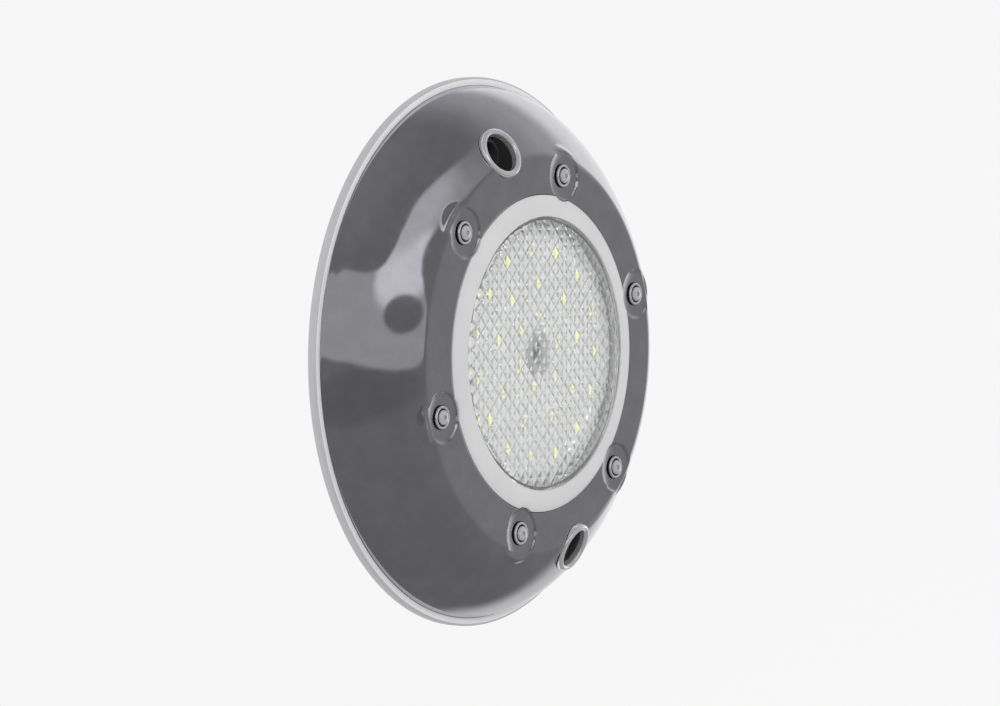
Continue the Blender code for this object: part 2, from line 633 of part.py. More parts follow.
def make_lamp_bezel(material):
    """White ring round the lens, with its flange behind the cover and a notch for each seat."""
    edge = FACE_HEIGHT + BEZEL_CROWN
    crown = edge + BEZEL_RISE
    outline = [(BEZEL_BORE, LENS_FLANGE_TOP + GAP), (LENS_FLANGE_RADIUS + GAP, LENS_FLANGE_TOP + GAP)]
    outline += [(LENS_FLANGE_RADIUS + GAP, BEZEL_BACK), (LAMP_FLANGE_RADIUS, BEZEL_BACK)]
    outline += [(LAMP_FLANGE_RADIUS, BEZEL_FLANGE_TOP), (BEZEL_RADIUS, BEZEL_FLANGE_TOP)]
    for step in range(4):
        turn = math.pi / 2.0 * step / 3
        across = BEZEL_WIDTH * (1.0 - 0.97 * math.sin(turn))
        outline.append((BEZEL_BORE + across, edge + BEZEL_RISE * (1.0 - math.cos(turn))))
    outline[-1] = (BEZEL_BORE + 0.05 * BEZEL_WIDTH, crown)
    outline.append((BEZEL_BORE, crown - 0.05 * BEZEL_WIDTH))
    bezel = turned("lamp_bezel", outline, material)
    lug = SEAT_LUG_RADIUS + GAP
    ends = (GASKET_TOP, LENS_FRONT + SEAT_DEPTH)
    lugs = plugs("lug_notches", seat_places(), lug, lug, *ends, SEAT_SEGMENTS)
    return combine(bezel, lugs, "DIFFERENCE")


def make_lamp_lens(material):
    """Clear lens with a chamfered window and a flange held behind the bezel."""
    back = LENS_FRONT - LENS_THICKNESS
    cup_bore = LENS_RADIUS - LENS_CHAMFER
    outline = [
        (0.0, back), (cup_bore, back), (cup_bore, LENS_FLANGE_BACK),
        (LENS_FLANGE_RADIUS, LENS_FLANGE_BACK), (LENS_FLANGE_RADIUS, LENS_FLANGE_TOP),
        (LENS_RADIUS, LENS_FLANGE_TOP), (LENS_RADIUS, LENS_FRONT - 0.5 * LENS_CHAMFER),
        (LENS_RADIUS - LENS_CHAMFER, LENS_FRONT), (0.0, LENS_FRONT),
    ]
    return turned("lamp_lens", outline, material)


def make_lens_seal(material):
    """Seal between the lens flange and the capsule's rear shell."""
    outline = ring_outline(SHELL_BORE + GAP, LENS_FLANGE_RADIUS, SHELL_TOP + GAP, LENS_FLANGE_BACK - GAP)
    return turned("lens_seal", outline, material)


def driver_corners():
    """Places of the pillars under the driver board's corners."""
    across = DRIVER_LENGTH / 2.0 - PILLAR_INSET
    up = DRIVER_WIDTH / 2.0 - PILLAR_INSET
    return [Matrix.Translation((x, 0.0, z)) for x in (-across, across) for z in (-up, up)]


def gland_place():
    """Place of the cable gland: on the side of the shell, pointing outward."""
    on_wall = Matrix.Translation((SHELL_RADIUS, -GLAND_HEIGHT, 0.0))
    return spoke(GLAND_ANGLE) @ on_wall @ Matrix.Rotation(math.pi / 2.0, 4, "Z")


def make_lamp_shell(material):
    """Rear cup of the capsule with its clamp flange, driver pillars and gland hole."""
    outline = [
        (0.0, SHELL_BACK), (SHELL_RADIUS - SHELL_WALL, SHELL_BACK), (SHELL_RADIUS, SHELL_BACK + SHELL_WALL),
        (SHELL_RADIUS, SHELL_FLANGE_BACK), (LAMP_FLANGE_RADIUS, SHELL_FLANGE_BACK),
        (LAMP_FLANGE_RADIUS, SHELL_TOP), (SHELL_BORE, SHELL_TOP), (SHELL_BORE, SHELL_FLOOR), (0.0, SHELL_FLOOR),
    ]
    shell = turned("lamp_shell", outline, material)
    root = SHELL_FLOOR - SHELL_WALL / 2.0
    pillars = plugs("pillars", driver_corners(), PILLAR_RADIUS, PILLAR_RADIUS, root, DRIVER_BACK - GAP, 12)
    combine(shell, pillars, "UNION")
    hole = GLAND_THREAD_RADIUS + GAP
    reach = 2.0 * SHELL_WALL
    return combine(shell, plugs("gland_hole", [gland_place()], hole, hole, -reach, reach, 24), "DIFFERENCE")


def make_heat_sink(material):
    """Aluminium plate that carries the LED board, with a skirt down to the capsule's floor."""
    back = SHELL_TOP - HEAT_SINK_PLATE
    foot = SHELL_FLOOR + DRIVER_LIFT
    inner = HEAT_SINK_RADIUS - HEAT_SINK_SKIRT
    outline = [
        (WIRE_HOLE_RADIUS, back), (inner, back), (inner, foot), (HEAT_SINK_RADIUS, foot),
        (HEAT_SINK_RADIUS, SHELL_TOP), (WIRE_HOLE_RADIUS, SHELL_TOP),
    ]
    sink = turned("heat_sink", outline, material)
    notch = GLAND_THREAD_RADIUS + 2.0 * GAP
    reach = 2.0 * (HEAT_SINK_SKIRT + SHELL_WALL)
    return combine(sink, plugs("gland_notch", [gland_place()], notch, notch, -reach, reach, 24), "DIFFERENCE")


def make_led_board(material):
    """Round white board with its rings of soldered LEDs and a central hole for its wires."""
    outline = ring_outline(WIRE_HOLE_RADIUS, LED_BOARD_RADIUS, LED_BOARD_BACK, LED_BOARD_FRONT)
    board = turned("led_board", outline, material)
    builder = bmesh.new()
    seated = BOARD_THICKNESS / 2.0
    middle = LED_BOARD_FRONT + (LED_HEIGHT - seated) / 2.0
    for count, radius, first in LED_RINGS:
        for index in range(count):
            place = spoke(first + math.tau * index / count) @ Matrix.Translation((radius, -middle, 0.0))
            add_box(builder, place, (LED_SIDE, LED_HEIGHT + seated, LED_SIDE))
    return combine(board, add_object("leds", builder), "UNION")


def make_driver_board(material):
    """Rectangular board of the LED driver, on the shell's pillars."""
    builder = bmesh.new()
    centre = Matrix.Translation((0.0, -(DRIVER_BACK + DRIVER_FRONT) / 2.0, 0.0))
    add_box(builder, centre, (DRIVER_LENGTH, BOARD_THICKNESS, DRIVER_WIDTH))
    return add_object("driver_board", builder, material)


def make_driver_parts(materials):
    """Capacitor, coil and cable terminals that stand on the driver board."""
    foot = DRIVER_FRONT + GAP
    room = SHELL_TOP - HEAT_SINK_PLATE - PART_CLEARANCE - foot
    x, z = CAPACITOR_PLACE
    capacitor = turned(
        "driver_capacitor", disc_outline(CAPACITOR_RADIUS, foot, foot + room), materials["black_rubber"],
        Matrix.Translation((x, 0.0, z)), SMALL_SEGMENTS,
    )
    x, z = COIL_PLACE
    coil = turned(
        "driver_coil", ring_outline(COIL_HOLE_RADIUS, COIL_RADIUS, foot, foot + COIL_HEIGHT),
        materials["coil_copper"], Matrix.Translation((x, 0.0, z)), SMALL_SEGMENTS,
    )
    x, z = TERMINAL_PLACE
    builder = bmesh.new()
    add_box(builder, Matrix.Translation((x, -foot - TERMINAL_SIZE[1] / 2.0, z)), TERMINAL_SIZE)
    terminal = add_object("terminal_block", builder, materials["grey_plastic"])
    return [capacitor, coil, terminal]


def make_gland(materials):
    """Cable gland in three pieces: threaded body, seal and cap nut, all bored for the cable."""
    place = gland_place()
    corner = GLAND_FLATS / 2.0 / math.cos(math.pi / 6.0)
    tip = GLAND_FLANGE + GAP + GLAND_NUT_LENGTH
    neck_end = tip - 0.35 * GLAND_NUT_LENGTH
    thread = [(CABLE_RADIUS, -SHELL_WALL - GLAND_THREAD_INSIDE), (GLAND_THREAD_RADIUS, -SHELL_WALL - GLAND_THREAD_INSIDE)]
    thread += [(GLAND_THREAD_RADIUS, GLAND_FLANGE / 2.0), (GLAND_NECK_RADIUS, GLAND_FLANGE / 2.0)]
    thread += [(GLAND_NECK_RADIUS, neck_end), (GLAND_SEAL_RADIUS + GAP, neck_end)]
    thread += [(GLAND_SEAL_RADIUS + GAP, GLAND_FLANGE), (CABLE_RADIUS, GLAND_FLANGE)]
    body = turned("gland_body", thread, materials["grey_plastic"], place, 24)
    collar = prism("collar", GLAND_FLATS, GAP, GLAND_FLANGE, None, place)
    bore = plugs("bore", [place], CABLE_RADIUS, CABLE_RADIUS, -tip, tip, 24)
    combine(collar, bore, "DIFFERENCE")
    combine(body, collar, "UNION")
    seal_outline = ring_outline(CABLE_RADIUS, GLAND_SEAL_RADIUS, GLAND_FLANGE + GAP, neck_end)
    seal = turned("gland_seal", seal_outline, materials["black_rubber"], place, 24)
    nut = prism("gland_nut", GLAND_FLATS, GLAND_FLANGE + GAP, tip - 1.0 * MM, materials["grey_plastic"], place)
    crown = plugs("crown", [place], corner * 0.8, corner * 0.55, tip - 1.5 * MM, tip, 24)
    combine(nut, crown, "UNION")
    inside = turned("inside", disc_outline(GLAND_NECK_RADIUS + GAP, 0.0, neck_end + GAP), None, place, 24)
    combine(nut, inside, "DIFFERENCE")
    hole = plugs("hole", [place], CABLE_RADIUS, CABLE_RADIUS, 0.0, 2.0 * tip, 24)
    combine(nut, hole, "DIFFERENCE")
    return [body, seal, nut]


# ---------------------------------------------------------------- wall bracket
def bracket_outline():
    """Outline of the strap: a hub arc on each side and a rounded end above and below."""
    half = BRACKET_WIDTH / 2.0
    hub_turn = math.acos(half / BRACKET_HUB_RADIUS)
    end = WELL_CIRCLE + BRACKET_END - half
    points = []
    for side in (1.0, -1.0):
        for step in range(13):
            turn = hub_turn * (step / 6.0 - 1.0)
            x = side * BRACKET_HUB_RADIUS * math.cos(turn)
            points.append((x, side * BRACKET_HUB_RADIUS * math.sin(turn)))
        for step in range(13):
            turn = math.pi * step / 12.0
            points.append((side * half * math.cos(turn), side * (end + half * math.sin(turn))))
    return points


def make_wall_bracket(material):
    """Flat steel strap with a round hub, screw holes for the wall and a conduit hole."""
    builder = bmesh.new()
    corners = [builder.verts.new((x, 0.0, z)) for x, z in bracket_outline()]
    face = builder.faces.new(corners)
    grown = bmesh.ops.extrude_face_region(builder, geom=[face])["geom"]
    moved = [part for part in grown if isinstance(part, bmesh.types.BMVert)]
    bmesh.ops.translate(builder, verts=moved, vec=(0.0, -BRACKET_THICKNESS, 0.0))
    bracket = add_object("wall_bracket", builder, material)
    places = [Matrix.Translation((0.0, 0.0, side * z)) for side in (-1, 1) for z in WALL_HOLE_DISTANCES]
    corners = [spoke(math.radians(45.0 + 90.0 * index)) for index in range(4)]
    places += [corner @ Matrix.Translation((HUB_HOLE_CIRCLE, 0.0, 0.0)) for corner in corners]
    reach = 2.0 * BRACKET_THICKNESS
    holes = plugs("wall_holes", places, WALL_HOLE_RADIUS, WALL_HOLE_RADIUS, -reach, reach, SMALL_SEGMENTS)
    combine(bracket, holes, "DIFFERENCE")
    conduit = [spoke(GLAND_ANGLE) @ Matrix.Translation((CONDUIT_OFFSET, 0.0, 0.0))]
    return combine(bracket, plugs("conduit", conduit, CONDUIT_RADIUS, CONDUIT_RADIUS, -reach, reach, 24), "DIFFERENCE")


def make_bracket_post(name, angle, material):
    """Threaded post that takes a fixing screw."""
    bore = FIXING_SHANK_RADIUS + GAP
    outline = ring_outline(bore, POST_RADIUS, BRACKET_THICKNESS + GAP, WELL_BACK - GAP)
    return turned(name, outline, material, well_place(angle), SEAT_SEGMENTS)


# ---------------------------------------------------------------- assembly
def make_light_unit(materials):
    """Everything that comes off the wall together, without the fixing screws."""
    pieces = [make_face_cover(materials["cover_steel"])]
    for side, angle in PORT_ANGLES.items():
        pieces.append(make_eyelet(f"port_eyelet_{side}", angle, materials["chrome"]))
        pieces.append(make_screw_well(f"screw_well_{side}", angle, materials["screw_steel"]))
    pieces += make_clamp_screws(materials["screw_steel"])
    pieces += make_clamp_washers(materials["black_rubber"])
    pieces += make_clamp_nuts(materials["screw_steel"])
    pieces.append(make_clamp_ring(materials["bracket_steel"]))
    pieces.append(make_cover_gasket(materials["black_rubber"]))
    pieces.append(make_lamp_bezel(materials["white_plastic"]))
    pieces.append(make_lamp_lens(materials["clear_plastic"]))
    pieces.append(make_lens_seal(materials["black_rubber"]))
    pieces.append(make_lamp_shell(materials["white_plastic"]))
    pieces.append(make_heat_sink(materials["aluminium"]))
    pieces.append(make_led_board(materials["board_white"]))
    pieces.append(make_driver_board(materials["board_green"]))
    pieces += make_driver_parts(materials)
    pieces += make_gland(materials)
    return pieces


def main():
    """Builds the whole light."""
    for item in list(bpy.data.objects):
        bpy.data.objects.remove(item, do_unlink=True)
    materials = make_materials()
    unit = group("light_unit", make_light_unit(materials))
    wall_pieces = [make_wall_bracket(materials["bracket_steel"])]
    for side, angle in PORT_ANGLES.items():
        wall_pieces.append(make_bracket_post(f"bracket_post_{side}", angle, materials["bracket_steel"]))
        washer = make_retaining_washer(f"retaining_washer_{side}", angle, materials["screw_steel"])
        screw = make_fixing_screw(f"fixing_screw_{side}", angle, materials["screw_steel"])
        carrier = group(f"fixing_{side}", [washer, screw])
        carrier.parent = unit
    group("wall_side", wall_pieces)


main()
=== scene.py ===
"""Finished look of the surface-mounted underwater pool light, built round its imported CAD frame.

The wall is the plane y = 0, the light's axis is the Y axis and the light shines towards -Y.
Lengths are in metres.  A height is a distance forward of the wall, so a height h is at y = -h.
Angles go round the axis from +X towards +Z.
"""

from bisect import bisect
from math import acos, ceil, cos, degrees, exp, hypot, pi, radians, sin, sqrt, tan, tau

import bmesh
import bpy
from mathutils import Matrix, Vector


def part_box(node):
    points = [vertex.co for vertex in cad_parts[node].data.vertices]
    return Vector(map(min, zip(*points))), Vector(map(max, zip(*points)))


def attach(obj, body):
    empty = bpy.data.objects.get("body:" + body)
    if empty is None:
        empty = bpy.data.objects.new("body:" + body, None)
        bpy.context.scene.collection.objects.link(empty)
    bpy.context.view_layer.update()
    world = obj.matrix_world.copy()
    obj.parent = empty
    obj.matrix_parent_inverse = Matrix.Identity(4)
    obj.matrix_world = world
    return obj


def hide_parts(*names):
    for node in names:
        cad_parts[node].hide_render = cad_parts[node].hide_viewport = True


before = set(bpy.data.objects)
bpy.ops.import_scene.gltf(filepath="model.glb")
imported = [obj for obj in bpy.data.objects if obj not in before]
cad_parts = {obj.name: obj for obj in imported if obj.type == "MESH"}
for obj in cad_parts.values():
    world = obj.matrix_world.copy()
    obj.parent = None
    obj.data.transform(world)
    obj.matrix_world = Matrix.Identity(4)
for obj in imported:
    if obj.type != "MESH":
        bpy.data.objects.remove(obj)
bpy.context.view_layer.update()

MM = 0.001
GAP = 0.3 * MM
X, Y, Z = range(3)
UNIT = "light_unit"
WALL = "wall_side"
SIDES = {"top": radians(90.0), "bottom": radians(270.0)}


def reach(node, axis, side=1):
    """Coordinate of a CAD node's low (0) or high (1) side along an axis."""
    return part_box(node)[side][axis]


def centre(node, axis):
    """Coordinate of a CAD node's middle along an axis."""
    return (reach(node, axis, 0) + reach(node, axis, 1)) / 2.0


def front(node):
    """Height of a CAD node's front."""
    return -reach(node, Y, 0)


def back(node):
    """Height of a CAD node's back."""
    return -reach(node, Y, 1)


# ---- sizes taken from the frame
RIM_RADIUS = reach("face_cover", X)
LENS_FRONT = front("lamp_lens")
LENS_FLANGE_RADIUS = reach("lamp_lens", X)
LAMP_FLANGE_RADIUS = reach("lamp_shell", X)
SEAT_CIRCLE = centre("clamp_washer_1", X)
SEAT_FLOOR = back("clamp_washer_1") - GAP
WELL_CIRCLE = centre("retaining_washer_top", Z)

# ---- sizes of the pressed cover
FACE_HEIGHT = 44.2 * MM
SHEET = 1.2 * MM
OPENING_RADIUS = 83.2 * MM
EDGE_INSET = 0.35 * MM              # width of the rounding at the opening's edge
ROW_PITCH = 0.66 * MM               # between rows of points on the shaped part
CREASE_RADIUS = 103.7 * MM
CREASE_ROUNDING = 1.6 * MM
DOME_RADIUS = 140.4 * MM
DOME_STEPS = 400
SHOULDER_REACH = 17.0 * MM
SHOULDER_SLOPE = radians(30.0)
FOOT_REACH = 15.0 * MM
FOOT_LEAN = 1.2 * MM
RIM_TOP = 4.2 * MM
RIM_BAND = (140.75 * MM, 143.85 * MM)
RIM_BEAD = 1.2 * MM
RIM_SKIN = 0.6 * MM
SEAT_FLOOR_RADIUS = 12.0 * MM
SEAT_WALL_WIDTH = 1.7 * MM
SEAT_LUG_RADIUS = 13.3 * MM
SEAT_BOSS_START = 12.9 * MM
SEAT_BOSS_FALL = 3.9 * MM
SEAT_LIP = 0.3 * MM
SEAT_LIP_WIDTH = 0.7 * MM
SEAT_DISH = 0.4 * MM
SEAT_DISH_START = 6.6 * MM
SEAT_PITCH = radians(60.0)
SHAPED_RADIUS = 116.0 * MM          # the seats are all within this radius

# ---- ports
PORT_CIRCLE = 109.8 * MM
PORT_TILT = radians(25.0)
EYELET_HOLE_RADIUS = 10.3 * MM
EYELET_RADIUS = 13.6 * MM
EYELET_PROUD = 1.65 * MM
SLEEVE_RADIUS = 11.2 * MM
SLEEVE_DEPTH = 2.4 * MM

# ---- lamp
LENS_RADIUS = 71.2 * MM
LENS_SHOULDER = FACE_HEIGHT - 3.2 * MM
LENS_THICKNESS = 3.5 * MM
BEZEL_BORE = 71.6 * MM
BEZEL_RADIUS = 82.9 * MM
BEZEL_EDGE = FACE_HEIGHT + 0.4 * MM
BEZEL_RISE = 2.0 * MM
PRISM_PITCH = 5.7 * MM
PRISM_DEPTH = 1.1 * MM
PRISM_TURN = radians(27.0)
WINDOW_RADIUS = 69.2 * MM
SHELL_RADIUS = 73.6 * MM
FLANGE_THICKNESS = 2.5 * MM
GLAND_CABLE_RADIUS = 3.6 * MM

# rings of light-emitting diodes: how many, ring radius, angle of the first
LED_RINGS = (
    (15, 55.0 * MM, radians(-18.0)),
    (9, 37.6 * MM, radians(72.0)),
    (6, 19.0 * MM, radians(0.0)),
)

# ---- hardware
SCREW_HOLE_RADIUS = 2.4 * MM
SCREW_HEAD_RADIUS = 3.75 * MM
FIXING_HOLE_RADIUS = 2.8 * MM
FIXING_HEAD_RADIUS = 4.5 * MM


# ---- shape helpers
def spoke(angle):
    """Turns +X to point outward at an angle round the light's axis."""
    return Matrix.Rotation(-angle, 4, "Y")


def out_from_axis(angle, radius):
    """Place on the wall plane at a radius from the light's axis."""
    return spoke(angle) @ Matrix.Translation((radius, 0.0, 0.0))


SEATS = [out_from_axis(SEAT_PITCH * seat, SEAT_CIRCLE) for seat in range(6)]
WELLS = {side: out_from_axis(angle, WELL_CIRCLE) for side, angle in SIDES.items()}


def linked(name, data):
    """A new object of some data, in the scene."""
    item = bpy.data.objects.new(name, data)
    bpy.context.scene.collection.objects.link(item)
    return item


def from_builder(name, builder):
    """An object of what a mesh builder holds."""
    mesh = bpy.data.meshes.new(name)
    builder.to_mesh(mesh)
    builder.free()
    return linked(name, mesh)


def shaded(mesh, sharp):
    """Smooth shading, but for edges sharper than an angle in degrees."""
    mesh.shade_smooth()
    mesh.set_sharp_from_angle(angle=radians(sharp))


def mesh_object(name, points, faces, place=None, sharp=35.0):
    """An object from points and faces, with outward normals and smooth round parts."""
    mesh = bpy.data.meshes.new(name)
    mesh.from_pydata(points, [], faces)
    builder = bmesh.new()
    builder.from_mesh(mesh)
    if place:
        bmesh.ops.transform(builder, matrix=place, verts=builder.verts)
    bmesh.ops.recalc_face_normals(builder, faces=builder.faces)
    builder.to_mesh(mesh)
    builder.free()
    shaded(mesh, sharp)
    return linked(name, mesh)


def rounded(outline, radius, closed):
    """An outline with its corners rounded."""
    points = [Vector(point) for point in outline]
    result = []
    for index, corner in enumerate(points):
        before = points[index - 1] - corner
        after = points[(index + 1) % len(points)] - corner
        end = not closed and index in (0, len(points) - 1)
        turn = 0.0 if end else before.angle(after, 0.0)
        nearly_straight = turn > radians(165.0)
        if end or nearly_straight or radius <= 0.0:
            result.append(corner)
            continue
        cut = min(radius / tan(turn / 2.0), 0.45 * before.length, 0.45 * after.length)
        start = corner + before.normalized() * cut
        stop = corner + after.normalized() * cut
        for t in (0.0, 0.33, 0.67, 1.0):
            result.append((1 - t) ** 2 * start + 2 * t * (1 - t) * corner + t * t * stop)
    return result


def polar(angle, radius, height):
    """A point from its angle, radius and height."""
    return (radius * cos(angle), -height, radius * sin(angle))


def turned(name, outline, segments=96, rounding=0.25 * MM, place=None):
    """Turns an outline of (radius, height) points round the -Y axis, its corners rounded."""
    closed = outline[0][0] > 0.0
    points, rings, faces = [], [], []
    for radius, height in rounded(outline, rounding, closed):
        count = segments if radius > 1e-7 else 1
        rings.append((len(points), count))
        points += [polar(tau * step / segments, radius, height) for step in range(count)]
    pairs = list(zip(rings, rings[1:])) + ([(rings[-1], rings[0])] if closed else [])
    for (low, low_count), (high, high_count) in pairs:
        for step in range(segments):
            after = (step + 1) % segments
            corners = [low + step % low_count, low + after % low_count]
            corners += [high + after % high_count, high + step % high_count]
            corners = list(dict.fromkeys(corners))
            if len(corners) > 2:
                faces.append(corners)
    return mesh_object(name, points, faces, place)


def ring(inner, outer, rear, fore):
    """Outline of a plain ring or tube."""
    return [(inner, rear), (outer, rear), (outer, fore), (inner, fore)]


def rod(radius, rear, fore):
    """Outline of a plain disc or rod."""
    return ring(0.0, radius, rear, fore)


def arc(middle, radii, start, stop, steps):
    """Outline points of an arc of a circle or an ellipse."""
    turns = [start + (stop - start) * step / steps for step in range(steps + 1)]
    return [(middle[0] + radii[0] * cos(turn), middle[1] + radii[1] * sin(turn)) for turn in turns]


def tube(name, node, inner, outer, segments, rounding, place=None):
    """A ring or tube from a CAD node's back to its front."""
    return turned(name, ring(inner, outer, back(node), front(node)), segments, rounding, place)


def looped_skin(name, rows, sharp=50.0):
    """A closed ring-shaped solid from rows of points that run round the axis."""
    count = len(rows[0])
    points = [point for row in rows for point in row]
    faces = []
    for index in range(len(rows)):
        low, high = index * count, (index + 1) % len(rows) * count
        for step in range(count):
            after = (step + 1) % count
            faces.append((low + step, low + after, high + after, high + step))
    return mesh_object(name, points, faces, sharp=sharp)


def plugs(name, places, radius, rear, fore, segments):
    """One object of equal straight plugs along -Y, one at each place."""
    builder = bmesh.new()
    upright = Matrix.Translation((0.0, -(rear + fore) / 2.0, 0.0)) @ Matrix.Rotation(pi / 2.0, 4, "X")
    for place in places:
        bmesh.ops.create_cone(
            builder, cap_ends=True, segments=segments, radius1=radius, radius2=radius,
            depth=fore - rear, matrix=place @ upright,
        )
    return from_builder(name, builder)


def apply_modifiers(item, sharp=35.0):
    """Replaces an item's mesh by what its modifiers make of it."""
    bpy.context.view_layer.update()
    evaluated = item.evaluated_get(bpy.context.evaluated_depsgraph_get())
    result = bpy.data.meshes.new_from_object(evaluated)
    item.modifiers.clear()
    item.data = result
    shaded(result, sharp)
    return item


def combine(item, other, operation):
    """Applies an exact Boolean of another object to an item, and removes the other object."""
    modifier = item.modifiers.new("cut", "BOOLEAN")
    modifier.operation = operation
    modifier.solver = "EXACT"
    modifier.object = other
    apply_modifiers(item)
    bpy.data.objects.remove(other, do_unlink=True)
    return item


def drill(item, places, radius, rear, fore, segments):
    """Cuts equal holes along -Y into an item, one at each place."""
    return combine(item, plugs("holes", places, radius, rear, fore, segments), "DIFFERENCE")


def hexagon(name, flats, rear, fore, chamfer, place=None):
    """A hexagonal prism on -Y with turned chamfers at its ends."""
    corner = flats / 2.0 / cos(pi / 6.0)
    prism = plugs(name, [Matrix.Identity(4)], corner, rear, fore, 6)
    low, high = flats / 2.0 * 0.97, corner * 1.01
    outline = [(0.0, rear), (low, rear), (high, rear + chamfer), (high, fore - chamfer), (low, fore), (0.0, fore)]
    combine(prism, turned("turning", outline, 96, 0.0), "INTERSECT")
    if place:
        prism.data.transform(place)
    return prism


def bevelled(item, width):
    """Rounds an item's sharp edges and keeps its flat faces flat."""
    modifier = item.modifiers.new("edges", "BEVEL")
    modifier.width = width
    modifier.segments = 2
    modifier.limit_method = "ANGLE"
    modifier.angle_limit = radians(40.0)
    return apply_modifiers(item, 20.0)


def twin(item, name, place):
    """A copy of an item at another place."""
    mesh = item.data.copy()
    mesh.transform(place)
    return linked(name, mesh)


def dress(item, material, body, slot, *nodes):
    """Gives an item its material and body, and hides the CAD nodes that it stands for."""
    item.data.materials.clear()
    item.data.materials.append(MATERIALS[material])
    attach(item, body)
    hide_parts(*nodes)


def smooth(t):
    """Eases from 0 to 1 as t goes from 0 to 1."""
    t = min(max(t, 0.0), 1.0)
    return t * t * (3.0 - 2.0 * t)


def threads(radius, start, stop, pitch):
    """Outline points of a thread's ridges from one height to another."""
    count = round((stop - start) / pitch)
    depth = 0.55 * pitch
    points = []
    for turn in range(count):
        low = start + (stop - start) * turn / count
        points += [(radius - depth, low), (radius, low + 0.5 * (stop - start) / count)]
    return points + [(radius - depth, stop)]


# ---- materials
class Tree:
    """A node tree with short ways to add its nodes."""

    def __init__(self, tree):
        self.tree = tree

    def put(self, socket, value):
        """Sets a socket, or links an output to it."""
        if isinstance(value, bpy.types.NodeSocket):
            self.tree.links.new(value, socket)
        else:
            socket.default_value = value

    def fill(self, made, **inputs):
        """Puts values or outputs into a node's named sockets."""
        for key, value in inputs.items():
            self.put(made.inputs[key.replace("_", " ")], value)
        return made

    def add(self, kind, **inputs):
        """Adds a node with some of its sockets filled."""
        return self.fill(self.tree.nodes.new("ShaderNode" + kind), **inputs)

    def feed(self, made, *values):
        """Puts values or outputs into a node's first sockets, and gives its first output."""
        for socket, value in zip(made.inputs, values):
            self.put(socket, value)
        return made.outputs[0]

    def maths(self, operation, *values):
        """Result of a maths node."""
        made = self.add("Math")
        made.operation = operation
        return self.feed(made, *values)

    def length(self, first, second):
        """Distance from two of its parts."""
        squares = [self.maths("MULTIPLY", part, part) for part in (first, second)]
        return self.maths("POWER", self.maths("ADD", *squares), 0.5)

    def spread(self, value, low, high, start=0.35, stop=0.65, kind="LINEAR"):
        """A value from start to stop, mapped to low to high."""
        made = self.add("MapRange", Value=value, From_Min=start, From_Max=stop, To_Min=low, To_Max=high)
        made.interpolation_type = kind
        return made.outputs["Result"]


class Nodes(Tree):
    """The node tree of a new material."""

    def __init__(self, name):
        self.material = bpy.data.materials.new(name)
        self.material.use_nodes = True
        super().__init__(self.material.node_tree)
        self.shader = self.tree.nodes["Principled BSDF"]
        self.output = self.tree.nodes["Material Output"]
        self.place = self.add("TexCoord").outputs["Object"]

    def parts(self):
        """Object coordinates, one by one."""
        return self.add("SeparateXYZ", Vector=self.place).outputs

    def stretched(self, *scale):
        """Object coordinates scaled along each axis."""
        return self.add("Mapping", Vector=self.place, Scale=scale).outputs["Vector"]

    def round_axis(self, across, along, out):
        """Coordinates that follow the light's axis: round it, along it and out from it."""
        x, y, z = self.parts()
        turn = self.maths("ARCTAN2", z, x)
        pairs = ((turn, across), (y, along), (self.length(x, z), out))
        return self.feed(self.add("CombineXYZ"), *(self.maths("MULTIPLY", *pair) for pair in pairs))

    def noise(self, scale, vector=None, detail=3.0, rough=0.5):
        """Value of a noise texture."""
        made = self.add("TexNoise", Vector=vector or self.place, Scale=scale, Detail=detail, Roughness=rough)
        return made.outputs[0]

    def blend(self, factor, first, second):
        """Mix of two colours."""
        made = self.add("Mix")
        made.data_type = "RGBA"
        self.put(made.inputs["Factor"], factor)
        for socket, colour in zip((made.inputs[6], made.inputs[7]), (first, second)):
            self.put(socket, (*colour, 1.0) if isinstance(colour, tuple) else colour)
        return made.outputs[2]

    def tinted(self, value, colour, low, high):
        """A colour that a texture value makes darker or lighter."""
        return self.blend(self.spread(value, 0.0, 1.0), shade(colour, low), shade(colour, high))

    def bump(self, height, strength, distance, under=None):
        """A bump from a height value, over another bump."""
        made = self.add("Bump", Height=height, Strength=strength, Distance=distance)
        if under:
            self.put(made.inputs["Normal"], under)
        return made.outputs["Normal"]

    def finish(self, colour, roughness, normal=None, metallic=0.0, **plain):
        """Fills the shader's sockets."""
        self.fill(self.shader, Base_Color=colour, Roughness=roughness, Metallic=metallic, **plain)
        if normal:
            self.put(self.shader.inputs["Normal"], normal)
        return self.material


def shade(colour, factor):
    """A colour made lighter or darker."""
    return tuple(min(channel * factor, 1.0) for channel in colour)


def mottled(name, colour, roughness, metallic=0.0, tint=0.06, relief=0.02):
    """Plain stock with slight changes of tone and gloss and a fine surface grain."""
    m = Nodes(name)
    tone = m.tinted(m.noise(90.0, detail=4.0), colour, 1.0 - tint, 1.0 + tint)
    gloss = m.spread(m.noise(279.0), roughness * 0.85, roughness * 1.15)
    return m.finish(tone, gloss, m.bump(m.noise(1800.0, detail=2.0), 0.35, relief * MM), metallic)


def polished_steel():
    """Bright-polished stainless sheet with faint buffing lines, water marks and a slight ripple."""
    m = Nodes("polished_steel")
    lines = m.noise(1.6, m.round_axis(9.0, 900.0, 900.0), detail=5.0, rough=0.7)
    marks = m.noise(75.0, detail=6.0, rough=0.6)
    tone = m.blend(m.spread(marks, 0.0, 1.0, 0.4, 0.7), (0.512, 0.506, 0.55), (0.572, 0.566, 0.61))
    gloss = m.maths("ADD", m.spread(lines, 0.045, 0.075), m.spread(marks, 0.0, 0.05, 0.5, 0.75))
    relief = m.bump(m.noise(22.0, detail=1.0), 0.5, 0.22 * MM, m.bump(lines, 0.12, 0.02 * MM))
    return m.finish(tone, gloss, relief, 1.0)


